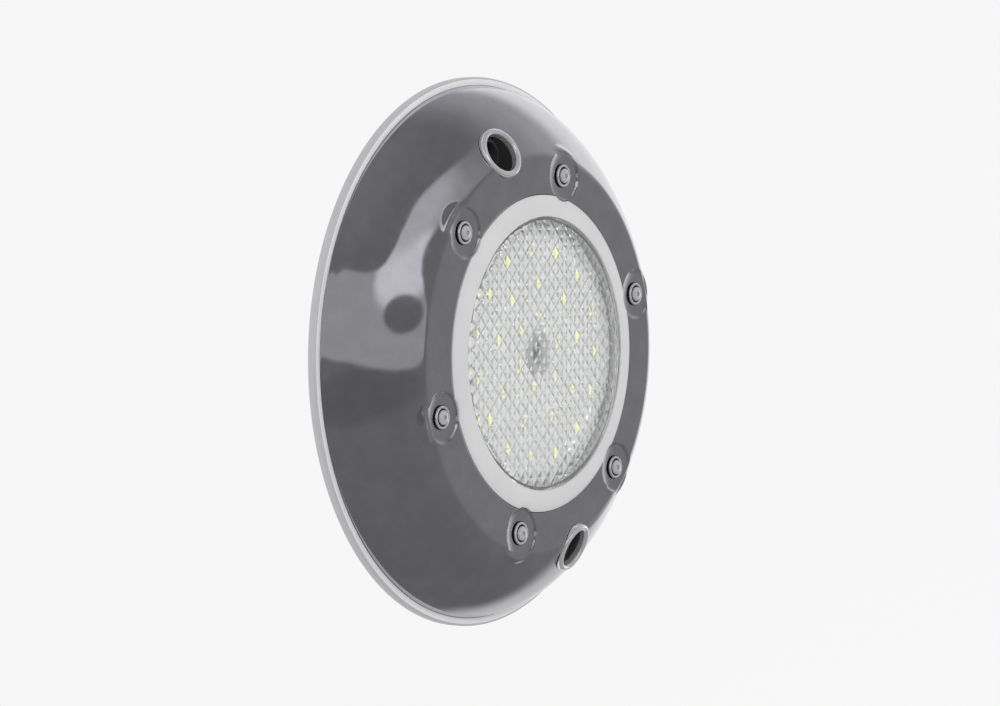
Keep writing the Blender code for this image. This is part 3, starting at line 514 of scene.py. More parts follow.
def plated(name, colour, roughness, metallic=1.0):
    """Bright plating with pin-point pits and faint water marks."""
    m = Nodes(name)
    tone = m.tinted(m.noise(160.0, detail=5.0), colour, 0.95, 1.02)
    gloss = m.spread(m.noise(420.0), roughness * 0.8, roughness * 1.4)
    return m.finish(tone, gloss, m.bump(m.noise(900.0), 0.15, 0.01 * MM), metallic)


def lined(m, lines, colour, roughness, metallic, tint, cloud, gloss, relief):
    """Metal marked by fine lines, with cloudy patches: how much each changes tone, gloss and relief."""
    tone = m.tinted(lines, colour, *tint)
    if cloud:
        scale, strength, darker = cloud
        tone = m.blend(m.spread(m.noise(scale, detail=4.0), 0.0, strength), tone, shade(colour, darker))
    rough = m.spread(lines, roughness * gloss[0], roughness * gloss[1])
    return m.finish(tone, rough, m.bump(lines, *relief), metallic)


def brushed(name, colour, roughness, stretch):
    """Brushed or rolled metal with lines along one direction."""
    m = Nodes(name)
    lines = m.noise(14.0, m.stretched(*stretch), detail=6.0, rough=0.65)
    return lined(m, lines, colour, roughness, 1.0, (0.84, 1.1), (45.0, 0.35, 0.8), (0.8, 1.3), (0.3, 0.03 * MM))


def satin_ground(name, colour, roughness, metallic):
    """Ground or tumbled steel: a pale satin face with fine scratches round the light's axis."""
    m = Nodes(name)
    lines = m.noise(1.2, m.round_axis(6.0, 700.0, 1500.0), detail=5.0, rough=0.7)
    return lined(m, lines, colour, roughness, metallic,
                 (0.94, 1.05), (60.0, 0.3, 0.9), (0.85, 1.2), (0.2, 0.02 * MM))


def lathe_turned(name, colour, roughness):
    """Machined metal with fine turning marks round the light's axis."""
    m = Nodes(name)
    lines = m.noise(1.0, m.round_axis(2.0, 500.0, 1800.0), detail=4.0, rough=0.7)
    return lined(m, lines, colour, roughness, 1.0, (0.88, 1.06), None, (0.8, 1.25), (0.3, 0.04 * MM))


def white_moulding():
    """Satin white moulding with a fine spark-eroded grain and slight handling marks."""
    m = Nodes("white_moulding")
    cloud = m.noise(38.0, detail=5.0)
    tone = m.blend(m.spread(cloud, 0.0, 1.0), (0.595, 0.592, 0.60), (0.625, 0.622, 0.63))
    gloss = m.spread(m.noise(210.0, detail=5.0, rough=0.7), 0.34, 0.48)
    relief = m.bump(m.noise(2600.0, detail=2.0), 0.25, 0.02 * MM)
    return m.finish(tone, gloss, relief, Specular_IOR_Level=0.45)


def clear_moulding():
    """Clear polycarbonate: slightly hazed, with faint flow marks; lamps shine through it."""
    m = Nodes("clear_moulding")
    haze = m.spread(m.noise(130.0, detail=4.0), 0.03, 0.08)
    relief = m.bump(m.noise(60.0, detail=2.0), 0.12, 0.03 * MM)
    tone = m.blend(m.spread(m.noise(50.0), 0.0, 1.0), (0.955, 0.962, 0.965), (0.985, 0.99, 0.99))
    m.finish(tone, haze, relief, IOR=1.49, Transmission_Weight=0.9)
    in_shadow = m.add("LightPath").outputs["Is Shadow Ray"]
    open_way = m.add("BsdfTransparent", Color=(0.93, 0.94, 0.94, 1.0)).outputs[0]
    mixed = m.feed(m.add("MixShader"), in_shadow, m.shader.outputs["BSDF"], open_way)
    m.put(m.output.inputs["Surface"], mixed)
    return m.material


def printed_board(m, track, tone, colour):
    """Finish of a printed board: lacquer that is raised over its copper tracks."""
    tone = m.blend(m.spread(m.noise(240.0), 0.0, 0.3), tone, shade(colour, 0.9))
    return m.finish(tone, m.spread(m.noise(500.0), 0.3, 0.42), m.bump(track, 0.4, 0.05 * MM))


def white_board():
    """White lacquered board with ring-shaped tracks, and a grey patch of painted shade round its middle hole."""
    m = Nodes("white_board")
    x, _, z = m.parts()
    radius = m.length(x, z)
    track = m.spread(m.maths("SINE", m.maths("MULTIPLY", radius, 1100.0)), 0.0, 1.0, 0.55, 0.75)
    lacquer = (0.80, 0.80, 0.79)
    tone = m.blend(track, lacquer, (0.86, 0.86, 0.85))
    # painted shade: grey round the middle hole stands in for the dark hole that the prisms repeat
    tone = m.blend(m.spread(radius, 1.0, 0.0, 10.5 * MM, 12.0 * MM), tone, (0.26, 0.26, 0.27))
    return printed_board(m, track, tone, lacquer)


def green_board():
    """Green lacquered board with slightly paler tracks."""
    m = Nodes("green_board")
    cells = m.add("TexVoronoi", Vector=m.place, Scale=260.0)
    cells.distance = "CHEBYCHEV"
    track = m.spread(m.maths("SUBTRACT", 0.55, cells.outputs["Distance"]), 0.0, 1.0, 0.55, 0.75)
    lacquer = (0.03, 0.17, 0.07)
    return printed_board(m, track, m.blend(track, lacquer, (0.07, 0.30, 0.13)), lacquer)


def phosphor():
    """Yellow phosphor gel of a light-emitting diode, with a faint painted glow."""
    m = Nodes("led_phosphor_painted_glow")
    grains = m.noise(1500.0, detail=3.0)
    tone = m.blend(m.spread(grains, 0.0, 1.0), (0.88, 0.85, 0.30), (0.96, 0.94, 0.44))
    # painted glow: a faint yellow emission, though the diodes are not lamps
    return m.finish(tone, 0.35, m.bump(grains, 0.2, 0.02 * MM), Subsurface_Weight=0.1,
                    Emission_Color=(1.0, 0.93, 0.42, 1.0), Emission_Strength=0.3)


def windings():
    """Enamelled copper wire wound round a core."""
    m = Nodes("copper_windings")
    wave = m.add("TexWave", Vector=m.place, Scale=900.0)
    wave.bands_direction = "DIAGONAL"
    wires = wave.outputs["Fac"]
    tone = m.blend(wires, (0.32, 0.13, 0.05), (0.78, 0.38, 0.17))
    return m.finish(tone, m.spread(m.noise(600.0), 0.25, 0.4), m.bump(wires, 0.8, 0.2 * MM), 1.0)


MATERIALS = {
    "cover": polished_steel(),
    "chrome": plated("bright_chrome", (0.90, 0.90, 0.92), 0.1, 0.78),
    "screw": plated("screw_steel", (0.74, 0.74, 0.75), 0.2),
    # rim land and bead: one finish in two copies, paler as painted light on the front, darker as painted shade on the
    # side
    "rim": satin_ground("rim_front_painted_light", (0.86, 0.855, 0.87), 0.45, 0.1),
    "bead": satin_ground("rim_side_painted_shade", (0.57, 0.565, 0.59), 0.4, 0.25),
    "hub": satin_ground("tumbled_steel", (0.62, 0.62, 0.64), 0.2, 0.5),
    # painted shade: the steel cup is near black to stand in for the shade deep in the screw well
    "well": mottled("well_painted_shade", (0.035, 0.035, 0.04), 0.5, tint=0.2, relief=0.04),
    # black oxide finish, its near black tone partly painted shade so the screw heads stay as dark as the well
    "oxide_and_shade": mottled("black_oxide_and_shade", (0.05, 0.05, 0.055), 0.34, 0.6, tint=0.2, relief=0.03),
    "bracket": brushed("rolled_steel", (0.52, 0.52, 0.53), 0.34, (12.0, 1.0, 0.8)),
    "white": white_moulding(),
    "clear": clear_moulding(),
    "rubber": mottled("black_rubber", (0.022, 0.022, 0.023), 0.62, tint=0.2, relief=0.05),
    "black": mottled("black_sleeve", (0.03, 0.03, 0.035), 0.32, tint=0.15),
    "grey": mottled("grey_nylon", (0.30, 0.30, 0.31), 0.48, tint=0.08, relief=0.04),
    "aluminium": lathe_turned("turned_aluminium", (0.72, 0.72, 0.74), 0.32),
    "board": white_board(),
    "green": green_board(),
    "package": mottled("led_package", (0.86, 0.86, 0.84), 0.4, tint=0.03, relief=0.01),
    "phosphor": phosphor(),
    "solder": plated("solder", (0.72, 0.72, 0.72), 0.3),
    "copper": windings(),
}


# ---- the pressed cover
def dome_curve():
    """Points of the dome's profile from the crease to its foot."""
    start = Vector((CREASE_RADIUS, FACE_HEIGHT))
    end = Vector((DOME_RADIUS, RIM_TOP))
    fall = Vector((cos(SHOULDER_SLOPE), -sin(SHOULDER_SLOPE)))
    shoulder = start + SHOULDER_REACH * fall
    foot = end + Vector((-FOOT_LEAN, FOOT_REACH))
    points = []
    for step in range(DOME_STEPS + 1):
        t = step / DOME_STEPS
        s = 1.0 - t
        points.append(s**3 * start + 3 * s * s * t * shoulder + 3 * s * t * t * foot + t**3 * end)
    return points


DOME = dome_curve()
DOME_RADII = [point.x for point in DOME]


def plain_height(radius):
    """Height of the cover without its seats, its crease still sharp."""
    if radius <= CREASE_RADIUS:
        return FACE_HEIGHT
    low = min(max(bisect(DOME_RADII, radius) - 1, 0), DOME_STEPS - 1)
    inner, outer = DOME[low], DOME[low + 1]
    return inner.y + (outer.y - inner.y) * (radius - inner.x) / (outer.x - inner.x)


def base_height(radius):
    """Height of the cover without its seats, its crease rounded."""
    if abs(radius - CREASE_RADIUS) >= CREASE_ROUNDING:
        return plain_height(radius)
    outer = CREASE_RADIUS + CREASE_ROUNDING
    t = (radius - CREASE_RADIUS + CREASE_ROUNDING) / (2.0 * CREASE_ROUNDING)
    return FACE_HEIGHT + (plain_height(outer) - FACE_HEIGHT) * t * t


def cover_height(radius, offset):
    """Height of the cover at a radius and an angle from the nearest screw seat."""
    base = base_height(radius)
    away = sqrt(max(radius**2 + SEAT_CIRCLE**2 - 2.0 * radius * SEAT_CIRCLE * cos(offset), 0.0))
    if away > SEAT_BOSS_START + SEAT_BOSS_FALL:
        return base
    if base >= SEAT_FLOOR:
        part = min(max((away - SEAT_DISH_START) / (SEAT_FLOOR_RADIUS - SEAT_DISH_START), 0.0), 1.0)
        low = min(SEAT_FLOOR + SEAT_DISH * part * part, base)
        return low + (base - low) * smooth((away - SEAT_FLOOR_RADIUS) / SEAT_WALL_WIDTH)
    lip = SEAT_LIP * smooth((SEAT_FLOOR - base) / MM)
    lip *= exp(-(((away - SEAT_BOSS_START) / SEAT_LIP_WIDTH) ** 2))
    return lip + SEAT_FLOOR + (base - SEAT_FLOOR) * smooth((away - SEAT_BOSS_START) / SEAT_BOSS_FALL)


def opening_edge(offset, radius, lug):
    """Radius of the lamp opening at an angle from the nearest seat, whose lug reaches inward."""
    swing = lug**2 - (SEAT_CIRCLE * sin(offset)) ** 2
    if swing <= 0.0:
        return radius
    return min(radius, SEAT_CIRCLE * cos(offset) - sqrt(swing))


def columns():
    """Angles round the cover, closer together at the seats, with the angle from the nearest seat."""
    half = SEAT_PITCH / 2.0
    near = radians(10.5)
    offsets = [-half + (half - near) * step / 13 for step in range(13)]
    offsets += [-near + 2.0 * near * step / 54 for step in range(54)]
    offsets += [near + (half - near) * step / 13 for step in range(13)]
    return [(SEAT_PITCH * seat + offset, offset) for seat in range(6) for offset in offsets]


def rim_profile():
    """Outer profile of the cover from the shaped part to the wall, and the inner one back again."""
    start = SHAPED_RADIUS + 0.5 * MM
    curve = DOME[::16]
    outside = [(point.x, point.y) for point in curve if point.x > start and point.y > RIM_TOP + 0.7 * MM]
    fillet = ((0.03, 0.55), (0.14, 0.25), (0.35, 0.07), (0.62, -0.02))
    outside += [(DOME_RADIUS + x * MM, RIM_TOP + y * MM) for x, y in fillet]
    edge = RIM_RADIUS - RIM_SKIN
    outside += [(edge - 0.2 * MM, RIM_TOP - 0.05 * MM), (edge, RIM_TOP - 0.3 * MM)]
    outside += [(edge, 0.2 * MM), (edge - 0.1 * MM, 0.05 * MM)]
    bore = RIM_RADIUS - SHEET
    inside = [(bore + 0.2 * MM, 0.0), (bore, 0.2 * MM), (bore, 1.9 * MM), (bore - 0.9 * MM, 2.5 * MM)]
    inside += [(DOME_RADIUS + 0.5 * MM, 2.05 * MM), (DOME_RADIUS - 0.7 * MM, 2.6 * MM)]
    inside.append((DOME_RADIUS - SHEET, RIM_TOP))
    for after, point, before in zip(curve[::-1], curve[-2::-1], curve[-3::-1]):
        along = (after - before).normalized()
        inner = point - SHEET * Vector((-along.y, along.x))
        if point.x > start:
            inside.append((inner.x, inner.y))
    return outside, inside


def make_rim():
    """Satin rim: a rolled bead to the wall in painted shade, the land inside it paler in painted light."""
    inner, top = RIM_RADIUS - RIM_SKIN - 0.05 * MM, RIM_TOP + 0.02 * MM
    outline = [(inner, 0.0), (RIM_RADIUS - 0.15 * MM, 0.0), (RIM_RADIUS, 0.15 * MM)]
    outline += arc((RIM_RADIUS - RIM_BEAD, top - RIM_BEAD), (RIM_BEAD, RIM_BEAD), 0.0, pi / 2.0, 8)
    outline += [(RIM_RADIUS - RIM_BEAD, RIM_TOP - 0.4 * MM), (inner, RIM_TOP - 0.5 * MM)]
    land = ring(*RIM_BAND, RIM_TOP - 0.5 * MM, RIM_TOP + 0.06 * MM)
    return turned("rim_bead", outline, 288, 0.0), turned("rim_land", land, 288, 0.12 * MM)


def shaped_point(angle, offset, radius, depth):
    """A point of the shaped part of the cover, a depth below its outer surface."""
    step = 0.1 * MM
    height = cover_height(radius, offset)
    if depth == 0.0:
        return polar(angle, radius, height)
    turn = step / radius
    out = (cover_height(radius + step, offset) - cover_height(radius - step, offset)) / (2.0 * step)
    around = (cover_height(radius, offset + turn) - cover_height(radius, offset - turn)) / (2.0 * step)
    normal = Vector((-out, -around, 1.0)).normalized()
    return polar(angle - depth * normal.y / radius, radius - depth * normal.x, height - depth * normal.z)


def make_cover():
    """The cover's skin with rounded edges, six seats, a folded rim and two port holes."""
    around = columns()
    edges = [opening_edge(offset, OPENING_RADIUS, SEAT_LUG_RADIUS) for _, offset in around]
    radii = [OPENING_RADIUS + EDGE_INSET + ROW_PITCH * step for step in range(50)]
    radii = [radius for radius in radii if radius < SHAPED_RADIUS] + [SHAPED_RADIUS]
    first, last = radii[0], radii[-1]

    def shaped_row(radius, depth):
        row = []
        for (angle, offset), edge in zip(around, edges):
            start = edge + EDGE_INSET
            here = start + (radius - first) * (last - start) / (last - first)
            row.append(shaped_point(angle, offset, here, depth))
        return row

    def edge_row(inset, depth):
        return [polar(angle, edge + inset, cover_height(edge + EDGE_INSET, offset) - depth)
                for (angle, offset), edge in zip(around, edges)]

    rows = [edge_row(0.0, 0.6 * MM), edge_row(0.02 * MM, 0.3 * MM), edge_row(0.12 * MM, 0.08 * MM)]
    rows += [shaped_row(radius, 0.0) for radius in radii]
    outside, inside = rim_profile()
    rows += [[polar(angle, *point) for angle, _ in around] for point in outside + inside]
    rows += [shaped_row(radius, SHEET) for radius in reversed(radii)]
    rows += [edge_row(0.12 * MM, SHEET - 0.08 * MM), edge_row(0.02 * MM, SHEET - 0.3 * MM)]
    cover = looped_skin("cover_skin", rows)
    ports = [port_place(angle) for angle in SIDES.values()]
    drill(cover, ports, SLEEVE_RADIUS + GAP, -10 * MM, 10 * MM, 64)
    return drill(cover, SEATS, SCREW_HOLE_RADIUS, 38 * MM, 46 * MM, 24)


def port_place(angle):
    """Place of a port: on the dome, tilted outward with its slope."""
    on_dome = Matrix.Translation((PORT_CIRCLE, -base_height(PORT_CIRCLE), 0.0))
    return spoke(angle) @ on_dome @ Matrix.Rotation(PORT_TILT, 4, "Z")


def circle(place, radius, height):
    """A row of points round a place's own -Y axis."""
    return [place @ Vector(polar(tau * step / 96, radius, height)) for step in range(96)]


def dome_below(place, radius, turn):
    """How far along a port's axis its dome lies, at a radius and turn round the port."""
    low, high = -9.0 * MM, 4.0 * MM
    for _ in range(24):
        middle = (low + high) / 2.0
        point = place @ Vector(polar(turn, radius, middle))
        over = -point.y - base_height(hypot(point.x, point.z))
        low, high = (low, middle) if over > 0.0 else (middle, high)
    return low


def make_eyelet(side):
    """Chromed ring in a port: a rounded rim that follows the dome, and a sleeve through it."""
    place = port_place(SIDES[side])
    half = (EYELET_RADIUS - EYELET_HOLE_RADIUS) / 2.0
    rim = arc((EYELET_HOLE_RADIUS + half, EYELET_PROUD - half), (half, half), pi, 0.0, 14)
    rows = [circle(place, *point) for point in [(EYELET_HOLE_RADIUS, -SLEEVE_DEPTH)] + rim]
    turns = [tau * step / 96 for step in range(96)]
    for radius in (EYELET_RADIUS, SLEEVE_RADIUS):
        rows.append([place @ Vector(polar(turn, radius, dome_below(place, radius, turn) + GAP)) for turn in turns])
    rows.append(circle(place, SLEEVE_RADIUS, -SLEEVE_DEPTH))
    return looped_skin(f"eyelet_{side}", rows)


def make_port_sleeve(side):
    """Rubber sleeve from the eyelet down to the mouth of the screw well."""
    port, well = port_place(SIDES[side]), WELLS[side]
    mouth = front(f"screw_well_{side}")
    rows = [circle(*row) for row in (
        (port, SLEEVE_RADIUS - 0.7 * MM, -SLEEVE_DEPTH + 0.3 * MM), (port, SLEEVE_RADIUS - 0.1 * MM, -SLEEVE_DEPTH),
        (well, 10.6 * MM, mouth + 1.0 * MM), (well, 10.6 * MM, mouth), (well, 9.4 * MM, mouth),
        (well, 9.6 * MM, mouth + 0.8 * MM), (port, SLEEVE_RADIUS - 0.8 * MM, -SLEEVE_DEPTH),
    )]
    return looped_skin(f"port_sleeve_{side}", rows)


# ---- lamp
def make_bezel():
    """White ring round the lens with a softly rolled face and a notch at each seat."""
    around = columns()
    edges = [opening_edge(offset, BEZEL_RADIUS, SEAT_LUG_RADIUS + GAP) for _, offset in around]
    gasket = front("cover_gasket")
    flange_front = gasket - 4.0 * MM - GAP
    flange_back = flange_front - FLANGE_THICKNESS
    seal = LENS_FLANGE_RADIUS + GAP
    shoulder = LENS_SHOULDER + GAP
    crown = BEZEL_EDGE + BEZEL_RISE
    ledge = 0.1 * (front("clamp_washer_1") - SEAT_FLOOR)
    lip = BEZEL_BORE + 0.45 * MM

    def plain(*points):
        return [[polar(angle, *point) for angle, _ in around] for point in points]

    def notched(height):
        return [polar(angle, edge, height) for (angle, _), edge in zip(around, edges)]

    rows = plain((BEZEL_BORE, shoulder), (BEZEL_BORE, crown - 0.5 * MM),
                 (BEZEL_BORE + 0.12 * MM, crown - 0.15 * MM), (lip, crown))
    for step in range(1, 17):
        t = step / 16.0
        height = BEZEL_EDGE + BEZEL_RISE * (1.0 - t**2.6) - 0.25 * MM * smooth((t - 0.9) / 0.1)
        rows.append([polar(angle, lip + (edge - lip) * t, height) for (angle, _), edge in zip(around, edges)])
    rows += [notched(BEZEL_EDGE - drop * MM) for drop in (0.7, 1.6, 3.0)]
    rows += [notched(gasket), notched(gasket - GAP)]
    rows += plain(
        (BEZEL_RADIUS, gasket - GAP - ledge), (BEZEL_RADIUS, flange_front),
        (LAMP_FLANGE_RADIUS - 0.3 * MM, flange_front), (LAMP_FLANGE_RADIUS, flange_front - 0.3 * MM),
        (LAMP_FLANGE_RADIUS, flange_back + 0.3 * MM), (LAMP_FLANGE_RADIUS - 0.3 * MM, flange_back),
        (seal, flange_back), (seal, shoulder),
    )
    return looped_skin("bezel_ring", rows, 40.0)


def prism_layer():
    """Square lattice of shallow pyramids that point inward, under a flat front."""
    half = ceil(WINDOW_RADIUS / PRISM_PITCH) + 1
    tip = LENS_FRONT - LENS_THICKNESS
    count = 2 * half + 1
    last = count - 1
    line = range(count)

    def lattice_point(column, row, height):
        return ((column - half) * PRISM_PITCH, -height, (row - half) * PRISM_PITCH)

    points = [lattice_point(column, row, tip + PRISM_DEPTH) for row in line for column in line]
    corner = len(points)
    points += [lattice_point(*place, LENS_FRONT) for place in ((0, 0), (last, 0), (last, last), (0, last))]
    faces = []
    for row in range(last):
        for column in range(last):
            middle = len(points)
            points.append(lattice_point(column + 0.5, row + 0.5, tip))
            near, far = row * count + column, (row + 1) * count + column
            square = (near, near + 1, far + 1, far)
            faces += [(square[step], square[(step + 1) % 4], middle) for step in range(4)]
    faces.append([corner + step for step in range(4)])
    borders = (
        [column for column in line], [row * count + last for row in line],
        [last * count + column for column in reversed(line)], [row * count for row in reversed(line)],
    )
    for step, border in enumerate(borders):
        faces.append(border + [corner + (step + 1) % 4, corner + step])
    layer = mesh_object("prism_layer", points, faces, spoke(PRISM_TURN), 5.0)
    return combine(layer, turned("window", rod(WINDOW_RADIUS, tip - MM, LENS_FRONT + MM), 192, 0.0), "INTERSECT")


def make_lens():
    """Clear lens: a chamfered rim, a flange and a window with a lattice of prisms behind it."""
    rear = back("lamp_lens")
    bore = LENS_RADIUS - 2.2 * MM
    outline = [
        (bore, rear), (LENS_FLANGE_RADIUS, rear), (LENS_FLANGE_RADIUS, LENS_SHOULDER), (LENS_RADIUS, LENS_SHOULDER),
        (LENS_RADIUS, LENS_FRONT - 0.9 * MM), (LENS_RADIUS - 1.8 * MM, LENS_FRONT), (bore, LENS_FRONT),
    ]
    lens = combine(turned("lens_window", outline, 192, 0.12 * MM), prism_layer(), "UNION")
    lens.data.set_sharp_from_angle(angle=radians(12.0))
    return lens


def make_shell():
    """Rear cup of the capsule with its clamp flange, driver pillars and gland hole."""
    rear, fore = back("lamp_shell"), front("lamp_shell")
    bore, wall = 71.1 * MM, 2.5 * MM
    flange = fore - FLANGE_THICKNESS
    outline = [(0.0, rear)]
    for step in range(4):
        groove = (24.0 + 13.0 * step) * MM
        outline += [(groove, rear), (groove + 0.5 * MM, rear + 0.5 * MM)]
        outline += [(groove + 1.5 * MM, rear + 0.5 * MM), (groove + 2.0 * MM, rear)]
    outline += [
        (SHELL_RADIUS - wall, rear), (SHELL_RADIUS, rear + wall), (SHELL_RADIUS, flange), (LAMP_FLANGE_RADIUS, flange),
        (LAMP_FLANGE_RADIUS, fore), (bore, fore), (bore, rear + wall), (0.0, rear + wall),
    ]
    shell = turned("rear_shell", outline, 144, 0.4 * MM)
    corners = [Matrix.Translation((x * 30.0 * MM, 0.0, z * 18.0 * MM)) for x in (-1, 1) for z in (-1, 1)]
    combine(shell, plugs("pillars", corners, 2.5 * MM, rear + wall / 2.0, back("driver_board") - GAP, 32), "UNION")
    return drill(shell, [gland_place()], 5.9 * MM, -5 * MM, 5 * MM, 48)


def gland_place():
    """Place of the cable gland: on the side of the shell, pointing outward."""
    on_wall = Matrix.Translation((SHELL_RADIUS, centre("gland_nut", Y), 0.0))
    return spoke(pi) @ on_wall @ Matrix.Rotation(pi / 2.0, 4, "Z")


def make_gland():
    """Cable gland: hexagonal body on its thread, and a domed cap nut."""
    place = gland_place()
    cable, flats, tip = GLAND_CABLE_RADIUS, 14.0 * MM, 11.1 * MM
    thread = [(cable, -4.5 * MM)] + threads(5.6 * MM, -4.5 * MM, 0.2 * MM, 1.1 * MM) + [(5.2 * MM, 0.4 * MM)]
    thread += [(5.2 * MM, 8.3 * MM), (4.9 * MM, 8.3 * MM), (4.9 * MM, 3.0 * MM), (cable, 3.0 * MM)]
    body = turned("gland_thread", thread, 64, 0.12 * MM, place)
    collar = drill(hexagon("collar", flats, GAP, 3.0 * MM, 0.5 * MM, place), [place], cable, -tip, tip, 64)
    combine(body, collar, "UNION")
    nut = hexagon("gland_cap", flats, 3.3 * MM, 8.6 * MM, 0.6 * MM, place)
    dome = [(0.0, 7.0 * MM), (6.6 * MM, 7.0 * MM), (6.6 * MM, 9.3 * MM), (5.4 * MM, tip), (0.0, tip)]
    combine(nut, turned("dome", dome, 64, 0.9 * MM, place), "UNION")
    combine(nut, turned("inside", rod(5.5 * MM, 0.0, 8.6 * MM), 64, 0.0, place), "DIFFERENCE")
    return body, drill(nut, [place], cable, 0.0, 2.0 * tip, 64)


def add_box(builder, place, size):
    """Adds a box to a mesh builder."""
    bmesh.ops.create_cube(builder, size=1.0, matrix=place @ Matrix.Diagonal((*size, 1.0)))


def make_leds():
    """White packages, yellow gel windows and solder pads of the light-emitting diodes."""
    base = front("led_board") - 1.0 * MM
    packages, gels, pads = bmesh.new(), bmesh.new(), bmesh.new()
    upright = Matrix.Rotation(pi / 2.0, 4, "X")
    for count, radius, first in LED_RINGS:
        for index in range(count):
            place = out_from_axis(first + tau * index / count, radius)
            high = place @ Matrix.Translation((0.0, -base - 0.45 * MM, 0.0))
            add_box(packages, high, (5.0 * MM, 0.9 * MM, 5.0 * MM))
            for x in (-1, 1):
                for z in (-1.6, 0.0, 1.6):
                    pad = place @ Matrix.Translation((x * 2.4 * MM, -base - 0.12 * MM, z * MM))
                    add_box(pads, pad, (1.3 * MM, 0.24 * MM, 0.9 * MM))
            gel = place @ Matrix.Translation((0.0, -base - 0.93 * MM, 0.0)) @ upright
            bmesh.ops.create_cone(gels, cap_ends=True, segments=32, radius1=2.5 * MM, radius2=2.35 * MM,
                                  depth=0.1 * MM, matrix=gel)
    kinds = (("led_packages", packages), ("led_windows", gels), ("led_pads", pads))
    return [bevelled(from_builder(*kind), 0.12 * MM) for kind in kinds]


def make_heat_sink():
    """Turned aluminium plate and skirt, notched for the gland."""
    rear, fore = back("heat_sink"), front("heat_sink")
    hole, bore, radius, under = 4.0 * MM, 67.3 * MM, 70.5 * MM, fore - 3.2 * MM
    outline = [(hole, under), (bore, under), (bore, rear), (radius, rear), (radius, fore), (hole, fore)]
    sink = turned("heat_spreader", outline, 144, 0.3 * MM)
    return drill(sink, [gland_place()], 6.2 * MM, -12 * MM, 12 * MM, 48)


# ---- hardware
def make_clamp_screw():
    """Button-head screw with a hexagonal socket."""
    tail, crown = back("clamp_screw_1"), front("clamp_screw_1")
    radius, head, rim = 2.0 * MM, front("clamp_washer_1") + GAP, 0.55 * MM
    outline = [(0.0, tail)] + threads(radius, tail, 34.0 * MM, 0.7 * MM)
    outline += [(radius, 35.0 * MM), (radius, head), (SCREW_HEAD_RADIUS, head)]
    outline += arc((0.0, head + rim), (SCREW_HEAD_RADIUS, crown - head - rim), 0.0, radians(80.0), 8)
    screw = turned("screw", outline + [(0.0, crown)], 64, 0.06 * MM)
    return drill(screw, [Matrix.Identity(4)], 1.45 * MM, crown - 1.1 * MM, crown + MM, 6)


def make_nut():
    """Hexagonal nut with chamfered corners."""
    rear, fore = back("clamp_nut_1"), front("clamp_nut_1")
    nut = hexagon("nut", 7.0 * MM, rear, fore, 0.45 * MM)
    wide, bore = 2.7 * MM, 2.3 * MM
    outline = [(0.0, rear - MM), (wide, rear - MM), (bore, rear + 0.3 * MM)]
    outline += [(bore, fore - 0.3 * MM), (wide, fore + MM), (0.0, fore + MM)]
    return combine(nut, turned("bore", outline, 48, 0.0), "DIFFERENCE")


def make_clamp_ring():
    """Ring that presses the lamp flanges forward, with an ear for each screw well."""
    rear, fore = back("clamp_ring"), front("clamp_ring")
    inner, outer = LAMP_FLANGE_RADIUS - 3.0 * MM, SEAT_CIRCLE + 6.5 * MM
    item = tube("pressure_ring", "clamp_ring", inner, outer, 192, 0.25 * MM)
    wells = list(WELLS.values())
    combine(item, plugs("ears", wells, 11.5 * MM, rear + 0.1 * MM, fore - 0.1 * MM, 64), "UNION")
    drill(item, SEATS, SCREW_HOLE_RADIUS, rear - MM, fore + MM, 32)
    return drill(item, wells, 9.3 * MM, rear - MM, fore + MM, 64)


def make_well(side):
    """Flanged cup behind a port, pressed from sheet."""
    rear, fore = back(f"screw_well_{side}"), front(f"screw_well_{side}")
    hole, bore, radius, flange = FIXING_HOLE_RADIUS, 7.8 * MM, 9.0 * MM, 10.8 * MM
    floor, under = rear + 2.0 * MM, fore - 1.2 * MM
    outline = [(hole, rear), (radius, rear), (radius, under), (flange, under)]
    outline += [(flange, fore), (bore, fore), (bore, floor), (hole, floor)]
    return turned(f"well_{side}", outline, 96, 0.35 * MM, WELLS[side])


def make_fixing_screw(side):
    """Captive socket-head screw with a knurled head."""
    tail, crown = back(f"fixing_screw_{side}"), front(f"fixing_screw_{side}")
    head, neck = crown - 5.0 * MM, 2.45 * MM
    outline = [(0.0, tail), (1.9 * MM, tail)] + threads(2.5 * MM, tail + 0.5 * MM, head - 1.0 * MM, 0.8 * MM)
    outline += [(neck, head - 0.9 * MM), (neck, head), (FIXING_HEAD_RADIUS, head)]
    outline += [(FIXING_HEAD_RADIUS, crown), (0.0, crown)]
    screw = turned(f"socket_screw_{side}", outline, 72, 0.08 * MM)
    knurls = bmesh.new()
    on_edge = Matrix.Rotation(radians(45.0), 4, "Y")
    for step in range(36):
        place = spoke(tau * step / 36) @ Matrix.Translation((4.62 * MM, -head - 2.4 * MM, 0.0))
        add_box(knurls, place @ on_edge, (0.42 * MM, 3.6 * MM, 0.42 * MM))
    combine(screw, from_builder("knurls", knurls), "DIFFERENCE")
    drill(screw, [Matrix.Identity(4)], 2.3 * MM, crown - 2.8 * MM, crown + MM, 6)
    screw.data.transform(WELLS[side])
    return screw


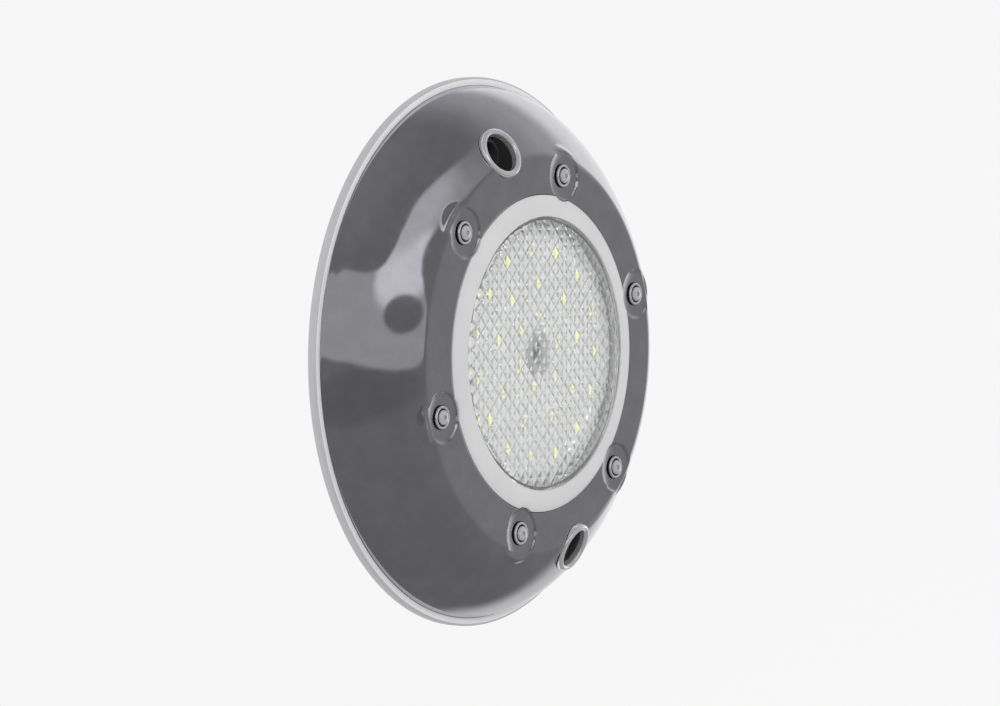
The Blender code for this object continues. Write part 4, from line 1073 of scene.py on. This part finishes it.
def make_bracket():
    """Flat steel strap with a round hub, wall holes and a conduit hole."""
    half, hub, thick = 20.0 * MM, 40.0 * MM, front("wall_bracket")
    end = WELL_CIRCLE + 11.0 * MM - half
    hub_turn = acos(half / hub)
    outline = []
    for side in (1.0, -1.0):
        outline += arc((0.0, 0.0), (side * hub, side * hub), -hub_turn, hub_turn, 48)
        outline += arc((0.0, side * end), (side * half, side * half), 0.0, pi, 48)
    count = len(outline)
    points = [(x, -height, z) for height in (0.0, thick) for x, z in outline]
    faces = [list(range(count)), list(range(count, 2 * count))]
    faces += [(step, (step + 1) % count, count + (step + 1) % count, count + step) for step in range(count)]
    bracket = mesh_object("strap", points, faces)
    places = [Matrix.Translation((0.0, 0.0, side * z * MM)) for side in (-1, 1) for z in (56.0, 78.0)]
    places += [out_from_axis(radians(45.0 + 90.0 * index), 33.0 * MM) for index in range(4)]
    drill(bracket, places, 2.8 * MM, -thick, 2.0 * thick, 48)
    drill(bracket, [out_from_axis(pi, 22.0 * MM)], 10.0 * MM, -thick, 2.0 * thick, 96)
    return bevelled(bracket, 0.3 * MM)


# ---- assembly
def dress_unit(*pieces):
    """Dresses pieces of the light unit, each given with its material, slot and CAD node."""
    for item, material, slot, node in pieces:
        dress(item, material, UNIT, slot, node)


def build_seats():
    """Screw, nut, sealing washer and cup washer at every seat."""
    low, high = back("clamp_washer_1"), front("clamp_washer_1")
    cup = [(4.6 * MM, low + 0.4 * MM), (6.0 * MM, low + 0.4 * MM)]
    cup += arc((5.3 * MM, low + 0.45 * MM), (0.7 * MM, high - low + 0.35 * MM), 0.0, pi, 12)
    seal = ring(SCREW_HOLE_RADIUS, 6.3 * MM, low, low + 0.45 * MM)
    # name, pattern, degrees turned from seat to seat, material, slot, CAD node
    kinds = (
        ("button_screw", make_clamp_screw(), 17.0, "hub", "screw_steel", "clamp_screw"),
        ("hex_nut", make_nut(), 0.0, "screw", "screw_steel", "clamp_nut"),
        ("seal_washer", turned("washer", seal, 64, 0.15 * MM), 0.0, "rubber", "black_rubber", "clamp_washer"),
        ("cup_washer", turned("cup", cup, 64, 0.0), 0.0, "chrome", "screw_steel", "clamp_washer"),
    )
    for seat, place in enumerate(SEATS):
        for name, pattern, turn, material, slot, node in kinds:
            turned_place = place @ Matrix.Rotation(radians(turn * seat), 4, "Y")
            dress_unit((twin(pattern, f"{name}_{seat + 1}", turned_place), material, slot, f"{node}_{seat + 1}"))
    for kind in kinds:
        bpy.data.objects.remove(kind[1], do_unlink=True)


def build_ports():
    """Eyelet, sleeve, well, captive screw with its washer, and post at each port."""
    for side, place in WELLS.items():
        dress_unit(
            (make_eyelet(side), "chrome", "chrome", f"port_eyelet_{side}"),
            (make_port_sleeve(side), "rubber", "black_rubber", f"port_eyelet_{side}"),
            (make_well(side), "well", "screw_steel", f"screw_well_{side}"),
        )
        node = f"retaining_washer_{side}"
        keeper = tube(f"keeper_{side}", node, FIXING_HOLE_RADIUS, 6.5 * MM, 64, 0.15 * MM, place)
        dress(keeper, "screw", f"screw_carrier_{side}", "screw_steel", node)
        node = f"fixing_screw_{side}"
        dress(make_fixing_screw(side), "oxide_and_shade", node, "screw_steel", node)
        node = f"bracket_post_{side}"
        post = tube(f"post_{side}", node, FIXING_HOLE_RADIUS, 7.0 * MM, 72, 0.4 * MM, place)
        dress(post, "bracket", WALL, "bracket_steel", node)


def build():
    """Builds every finished piece and dresses every CAD node that stays."""
    bead, land = make_rim()
    dress_unit(
        (make_cover(), "cover", "cover_steel", "face_cover"),
        (bead, "bead", "cover_steel", "face_cover"),
        (land, "rim", "cover_steel", "face_cover"),
        (make_bezel(), "white", "white_plastic", "lamp_bezel"),
        (make_lens(), "clear", "clear_plastic", "lamp_lens"),
        (make_shell(), "white", "white_plastic", "lamp_shell"),
        (make_clamp_ring(), "bracket", "bracket_steel", "clamp_ring"),
    )
    dress(make_bracket(), "bracket", WALL, "bracket_steel", "wall_bracket")
    build_seats()
    build_ports()
    gasket = tube("flange_gasket", "cover_gasket", OPENING_RADIUS, LAMP_FLANGE_RADIUS, 192, 0.8 * MM)
    seal = tube("lens_o_ring", "lens_seal", 71.4 * MM, LENS_FLANGE_RADIUS, 192, 0.9 * MM)
    collar = ring(69.4 * MM, 70.7 * MM, front("led_board") - 1.0 * MM, back("lamp_lens") - GAP)
    board = ring(4.0 * MM, 69.0 * MM, back("led_board"), back("led_board") + 1.6 * MM)
    packages, gels, pads = make_leds()
    body, nut = make_gland()
    dress_unit(
        (gasket, "rubber", "black_rubber", "cover_gasket"),
        (seal, "rubber", "black_rubber", "lens_seal"),
        (turned("seal_collar", collar, 192, 0.3 * MM), "black", "black_rubber", "lens_seal"),
        (make_heat_sink(), "aluminium", "aluminium", "heat_sink"),
        (turned("lamp_board", board, 144, 0.1 * MM), "board", "board_white", "led_board"),
        (packages, "package", "board_white", "led_board"),
        (gels, "phosphor", "board_white", "led_board"),
        (pads, "solder", "screw_steel", "led_board"),
        (body, "grey", "grey_plastic", "gland_body"),
        (nut, "grey", "grey_plastic", "gland_nut"),
    )
    kept = {
        "driver_board": "green", "driver_capacitor": "black", "driver_coil": "copper",
        "terminal_block": "grey", "gland_seal": "rubber",
    }
    for node, material in kept.items():
        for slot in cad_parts[node].material_slots:
            slot.material = MATERIALS[material]


# ---- studio
BACKDROP = 0.930
SOFT_LIGHT = 0.80

# brightness of the dim room that polished parts mirror
ROOM_BASE = 0.205
ROOM_BACK = 0.86
WINDOW_GREY = 0.45
WINDOW_BRIGHT = 0.9
SCREEN_BRIGHT = 0.97

# upper and lower edge of the long grey window, as (longitude, latitude) in degrees
WINDOW_TOP = ((-130, 49), (-95, 49), (-75, 50.5), (-60, 48.5), (-45, 44), (-30, 38.5), (-20, 36),
              (-10, 37.5), (0, 41), (15, 44), (30, 42), (60, 33), (90, 25))
WINDOW_FOOT = ((-130, 17), (-95, 16.5), (-75, 15), (-60, 13), (-45, 9), (-30, 4), (-20, 1),
               (-10, 0), (-3, 8), (0, 24), (8, 30), (30, 30), (60, 24), (90, 20))


class Room(Tree):
    """Brightness by direction: patches painted over each other in longitude and latitude."""

    def __init__(self, tree):
        super().__init__(tree)
        x, y, z = self.add("SeparateXYZ", Vector=self.add("TexCoord").outputs["Generated"]).outputs
        self.depth = y
        turn = self.maths("ARCTAN2", x, self.maths("MULTIPLY", y, -1.0))
        self.longitude = self.maths("MULTIPLY", turn, degrees(1.0))
        self.latitude = self.maths("MULTIPLY", self.maths("ARCSINE", z), degrees(1.0))
        self.value = ROOM_BASE

    def ease(self, value, start, stop):
        """Eases from 0 at start to 1 at stop."""
        return self.spread(value, 0.0, 1.0, start, stop, "SMOOTHSTEP")

    def edge(self, points):
        """Latitude of an edge drawn through points, at each longitude."""
        made = self.add("FloatCurve", Value=self.maths("MULTIPLY_ADD", self.longitude, 1.0 / 360.0, 0.5))
        curve = made.mapping.curves[0]
        places = [((lon + 180.0) / 360.0, (lat + 90.0) / 180.0) for lon, lat in points]
        curve.points[0].location = (0.0, places[0][1])
        curve.points[-1].location = (1.0, places[-1][1])
        for place in places:
            curve.points.new(*place)
        made.mapping.update()
        return self.maths("MULTIPLY_ADD", made.outputs["Value"], 180.0, -90.0)

    def between(self, foot, top, soft):
        """Mask of what lies between two edges."""
        over = self.ease(self.maths("SUBTRACT", self.latitude, self.edge(foot)), -soft, soft)
        under = self.ease(self.maths("SUBTRACT", self.edge(top), self.latitude), -soft, soft)
        return self.maths("MULTIPLY", over, under)

    def oval(self, middle, width, height, soft, lean=0.0):
        """Mask of an oval patch: its half width and half height in degrees."""
        across = self.maths("SUBTRACT", self.longitude, middle[0])
        up = self.maths("SUBTRACT", self.latitude, middle[1])
        c, s = cos(radians(lean)), sin(radians(lean))
        along = self.maths("ADD", self.maths("MULTIPLY", across, c / width), self.maths("MULTIPLY", up, s / width))
        aside = self.maths("SUBTRACT", self.maths("MULTIPLY", up, c / height),
                           self.maths("MULTIPLY", across, s / height))
        return self.ease(self.length(along, aside), 1.0 + soft, 1.0 - soft)

    def paint(self, mask, value):
        """Lays a brightness over what is there, where the mask is 1."""
        made = self.add("Mix")
        for index, part in ((0, mask), (2, self.value), (3, value)):
            self.put(made.inputs[index], part)
        self.value = made.outputs[0]

    def furnish(self):
        """Paints all that the polished parts mirror, from the dim walls to the bright screen."""
        window = self.between(WINDOW_FOOT, WINDOW_TOP, 0.9)

        def in_window(mask):
            return self.maths("MULTIPLY", window, mask)

        self.paint(self.ease(self.latitude, -20.0, -75.0), 0.195)
        self.paint(self.oval((-60.0, -1.0), 75.0, 10.5, 0.25), 0.165)
        self.paint(self.ease(self.latitude, 48.0, 70.0), 0.24)
        self.paint(self.oval((50.0, -14.0), 52.0, 36.0, 0.55), 0.285)
        self.paint(in_window(self.ease(self.longitude, 75.0, 20.0)), WINDOW_GREY)
        self.paint(in_window(self.oval((-7.0, 30.0), 20.0, 11.5, 0.2)), WINDOW_BRIGHT)
        self.paint(in_window(self.oval((12.0, 39.0), 24.0, 6.0, 0.5)), 0.62)
        self.paint(self.oval((-14.0, 16.5), 10.5, 6.0, 0.12, -18.0), 0.19)
        self.paint(self.oval((100.0, 8.0), 34.0, 34.0, 0.6), 0.50)
        self.paint(self.oval((116.0, -40.0), 22.0, 20.0, 0.5), 0.70)
        self.paint(self.oval((88.0, -22.0), 24.0, 10.0, 0.4), 0.95)
        self.paint(self.oval((110.0, -6.0), 24.0, 26.0, 0.3), SCREEN_BRIGHT)
        self.paint(self.ease(self.depth, 0.505, 0.56), ROOM_BACK)


def make_world():
    """Pale surroundings for the eye, soft light for matt parts and a dim room for mirrors."""
    world = bpy.data.worlds.new("studio")
    bpy.context.scene.world = world
    world.use_nodes = True
    world.node_tree.nodes.clear()
    room = Room(world.node_tree)
    room.furnish()
    rays = room.add("LightPath").outputs

    def backdrop(value):
        colour = (value, value, value, 1.0) if isinstance(value, float) else value
        return room.add("Background", Color=colour).outputs[0]

    seen = backdrop(SOFT_LIGHT)
    for kind, value in (("Glossy", room.value), ("Transmission", SOFT_LIGHT), ("Camera", BACKDROP)):
        seen = room.feed(room.add("MixShader"), rays[f"Is {kind} Ray"], seen, backdrop(value))
    room.add("OutputWorld", Surface=seen)
    world.cycles.sampling_method = "NONE"


def add_lamp(name, place, size, power):
    """Soft lamp that points at the light and stays out of mirror reflections."""
    data = bpy.data.lights.new(name, "AREA")
    data.shape = "DISK"
    data.size = size
    data.energy = power
    item = linked(name, data)
    item.location = place
    item.rotation_euler = (-Vector(place)).to_track_quat("-Z", "Y").to_euler()
    item.visible_glossy = False


FLOOR_LEVEL = -0.42
FLOOR_RADIUS = 1.2
FLOOR_GLOW = 0.66


def make_floor():
    """Pale floor well below the light, which fades out at its edge."""
    m = Nodes("studio_floor")
    x, y, _ = m.parts()
    fade = m.spread(m.length(x, y), 1.0, 0.0, 0.2 * FLOOR_RADIUS, 0.75 * FLOOR_RADIUS)
    tone = m.blend(m.noise(3.0), (0.29, 0.29, 0.29), (0.31, 0.31, 0.31))
    m.finish(tone, 0.9, Emission_Color=(1.0, 1.0, 1.0, 1.0), Emission_Strength=FLOOR_GLOW,
             Specular_IOR_Level=0.0, Alpha=fade)
    points = [(0.0, 0.0, FLOOR_LEVEL)]
    for step in range(96):
        angle = tau * step / 96
        points.append((FLOOR_RADIUS * cos(angle), FLOOR_RADIUS * sin(angle), FLOOR_LEVEL))
    faces = [(0, 1 + step, 1 + (step + 1) % 96) for step in range(96)]
    floor = mesh_object("studio_floor", points, faces)
    floor.data.materials.append(m.material)
    floor.visible_glossy = False


CAMERA_DISTANCE = 2.03
CAMERA_AZIMUTH = radians(-55.11)
CAMERA_ELEVATION = radians(2.28)
CAMERA_ROLL = radians(-18.0)        # the light hangs with its ports turned from upright
CAMERA_LENS = 138.05
CAMERA_SHIFT = (0.0258, -0.0014)


def make_camera():
    """Camera a little above the light's axis and well to its left."""
    data = bpy.data.cameras.new("camera")
    data.lens = CAMERA_LENS
    data.sensor_width = 36.0
    data.shift_x, data.shift_y = CAMERA_SHIFT
    data.clip_start, data.clip_end = 0.05, 50.0
    item = linked("camera", data)
    flat = cos(CAMERA_ELEVATION)
    rear = Vector((sin(CAMERA_AZIMUTH) * flat, -cos(CAMERA_AZIMUTH) * flat, sin(CAMERA_ELEVATION)))
    right = Vector((0.0, 0.0, 1.0)).cross(rear).normalized()
    axes = Matrix((right, rear.cross(right), rear)).transposed().to_4x4()
    item.matrix_world = spoke(CAMERA_ROLL) @ Matrix.Translation(CAMERA_DISTANCE * rear) @ axes
    bpy.context.scene.camera = item


build()
make_world()
make_floor()
add_lamp("key_lamp", (-1.2, -1.6, 1.4), 1.2, 14.0)
add_lamp("fill_lamp", (1.4, -1.5, 0.3), 1.4, 7.0)
make_camera()
bpy.context.scene.view_settings.view_transform = "Standard"
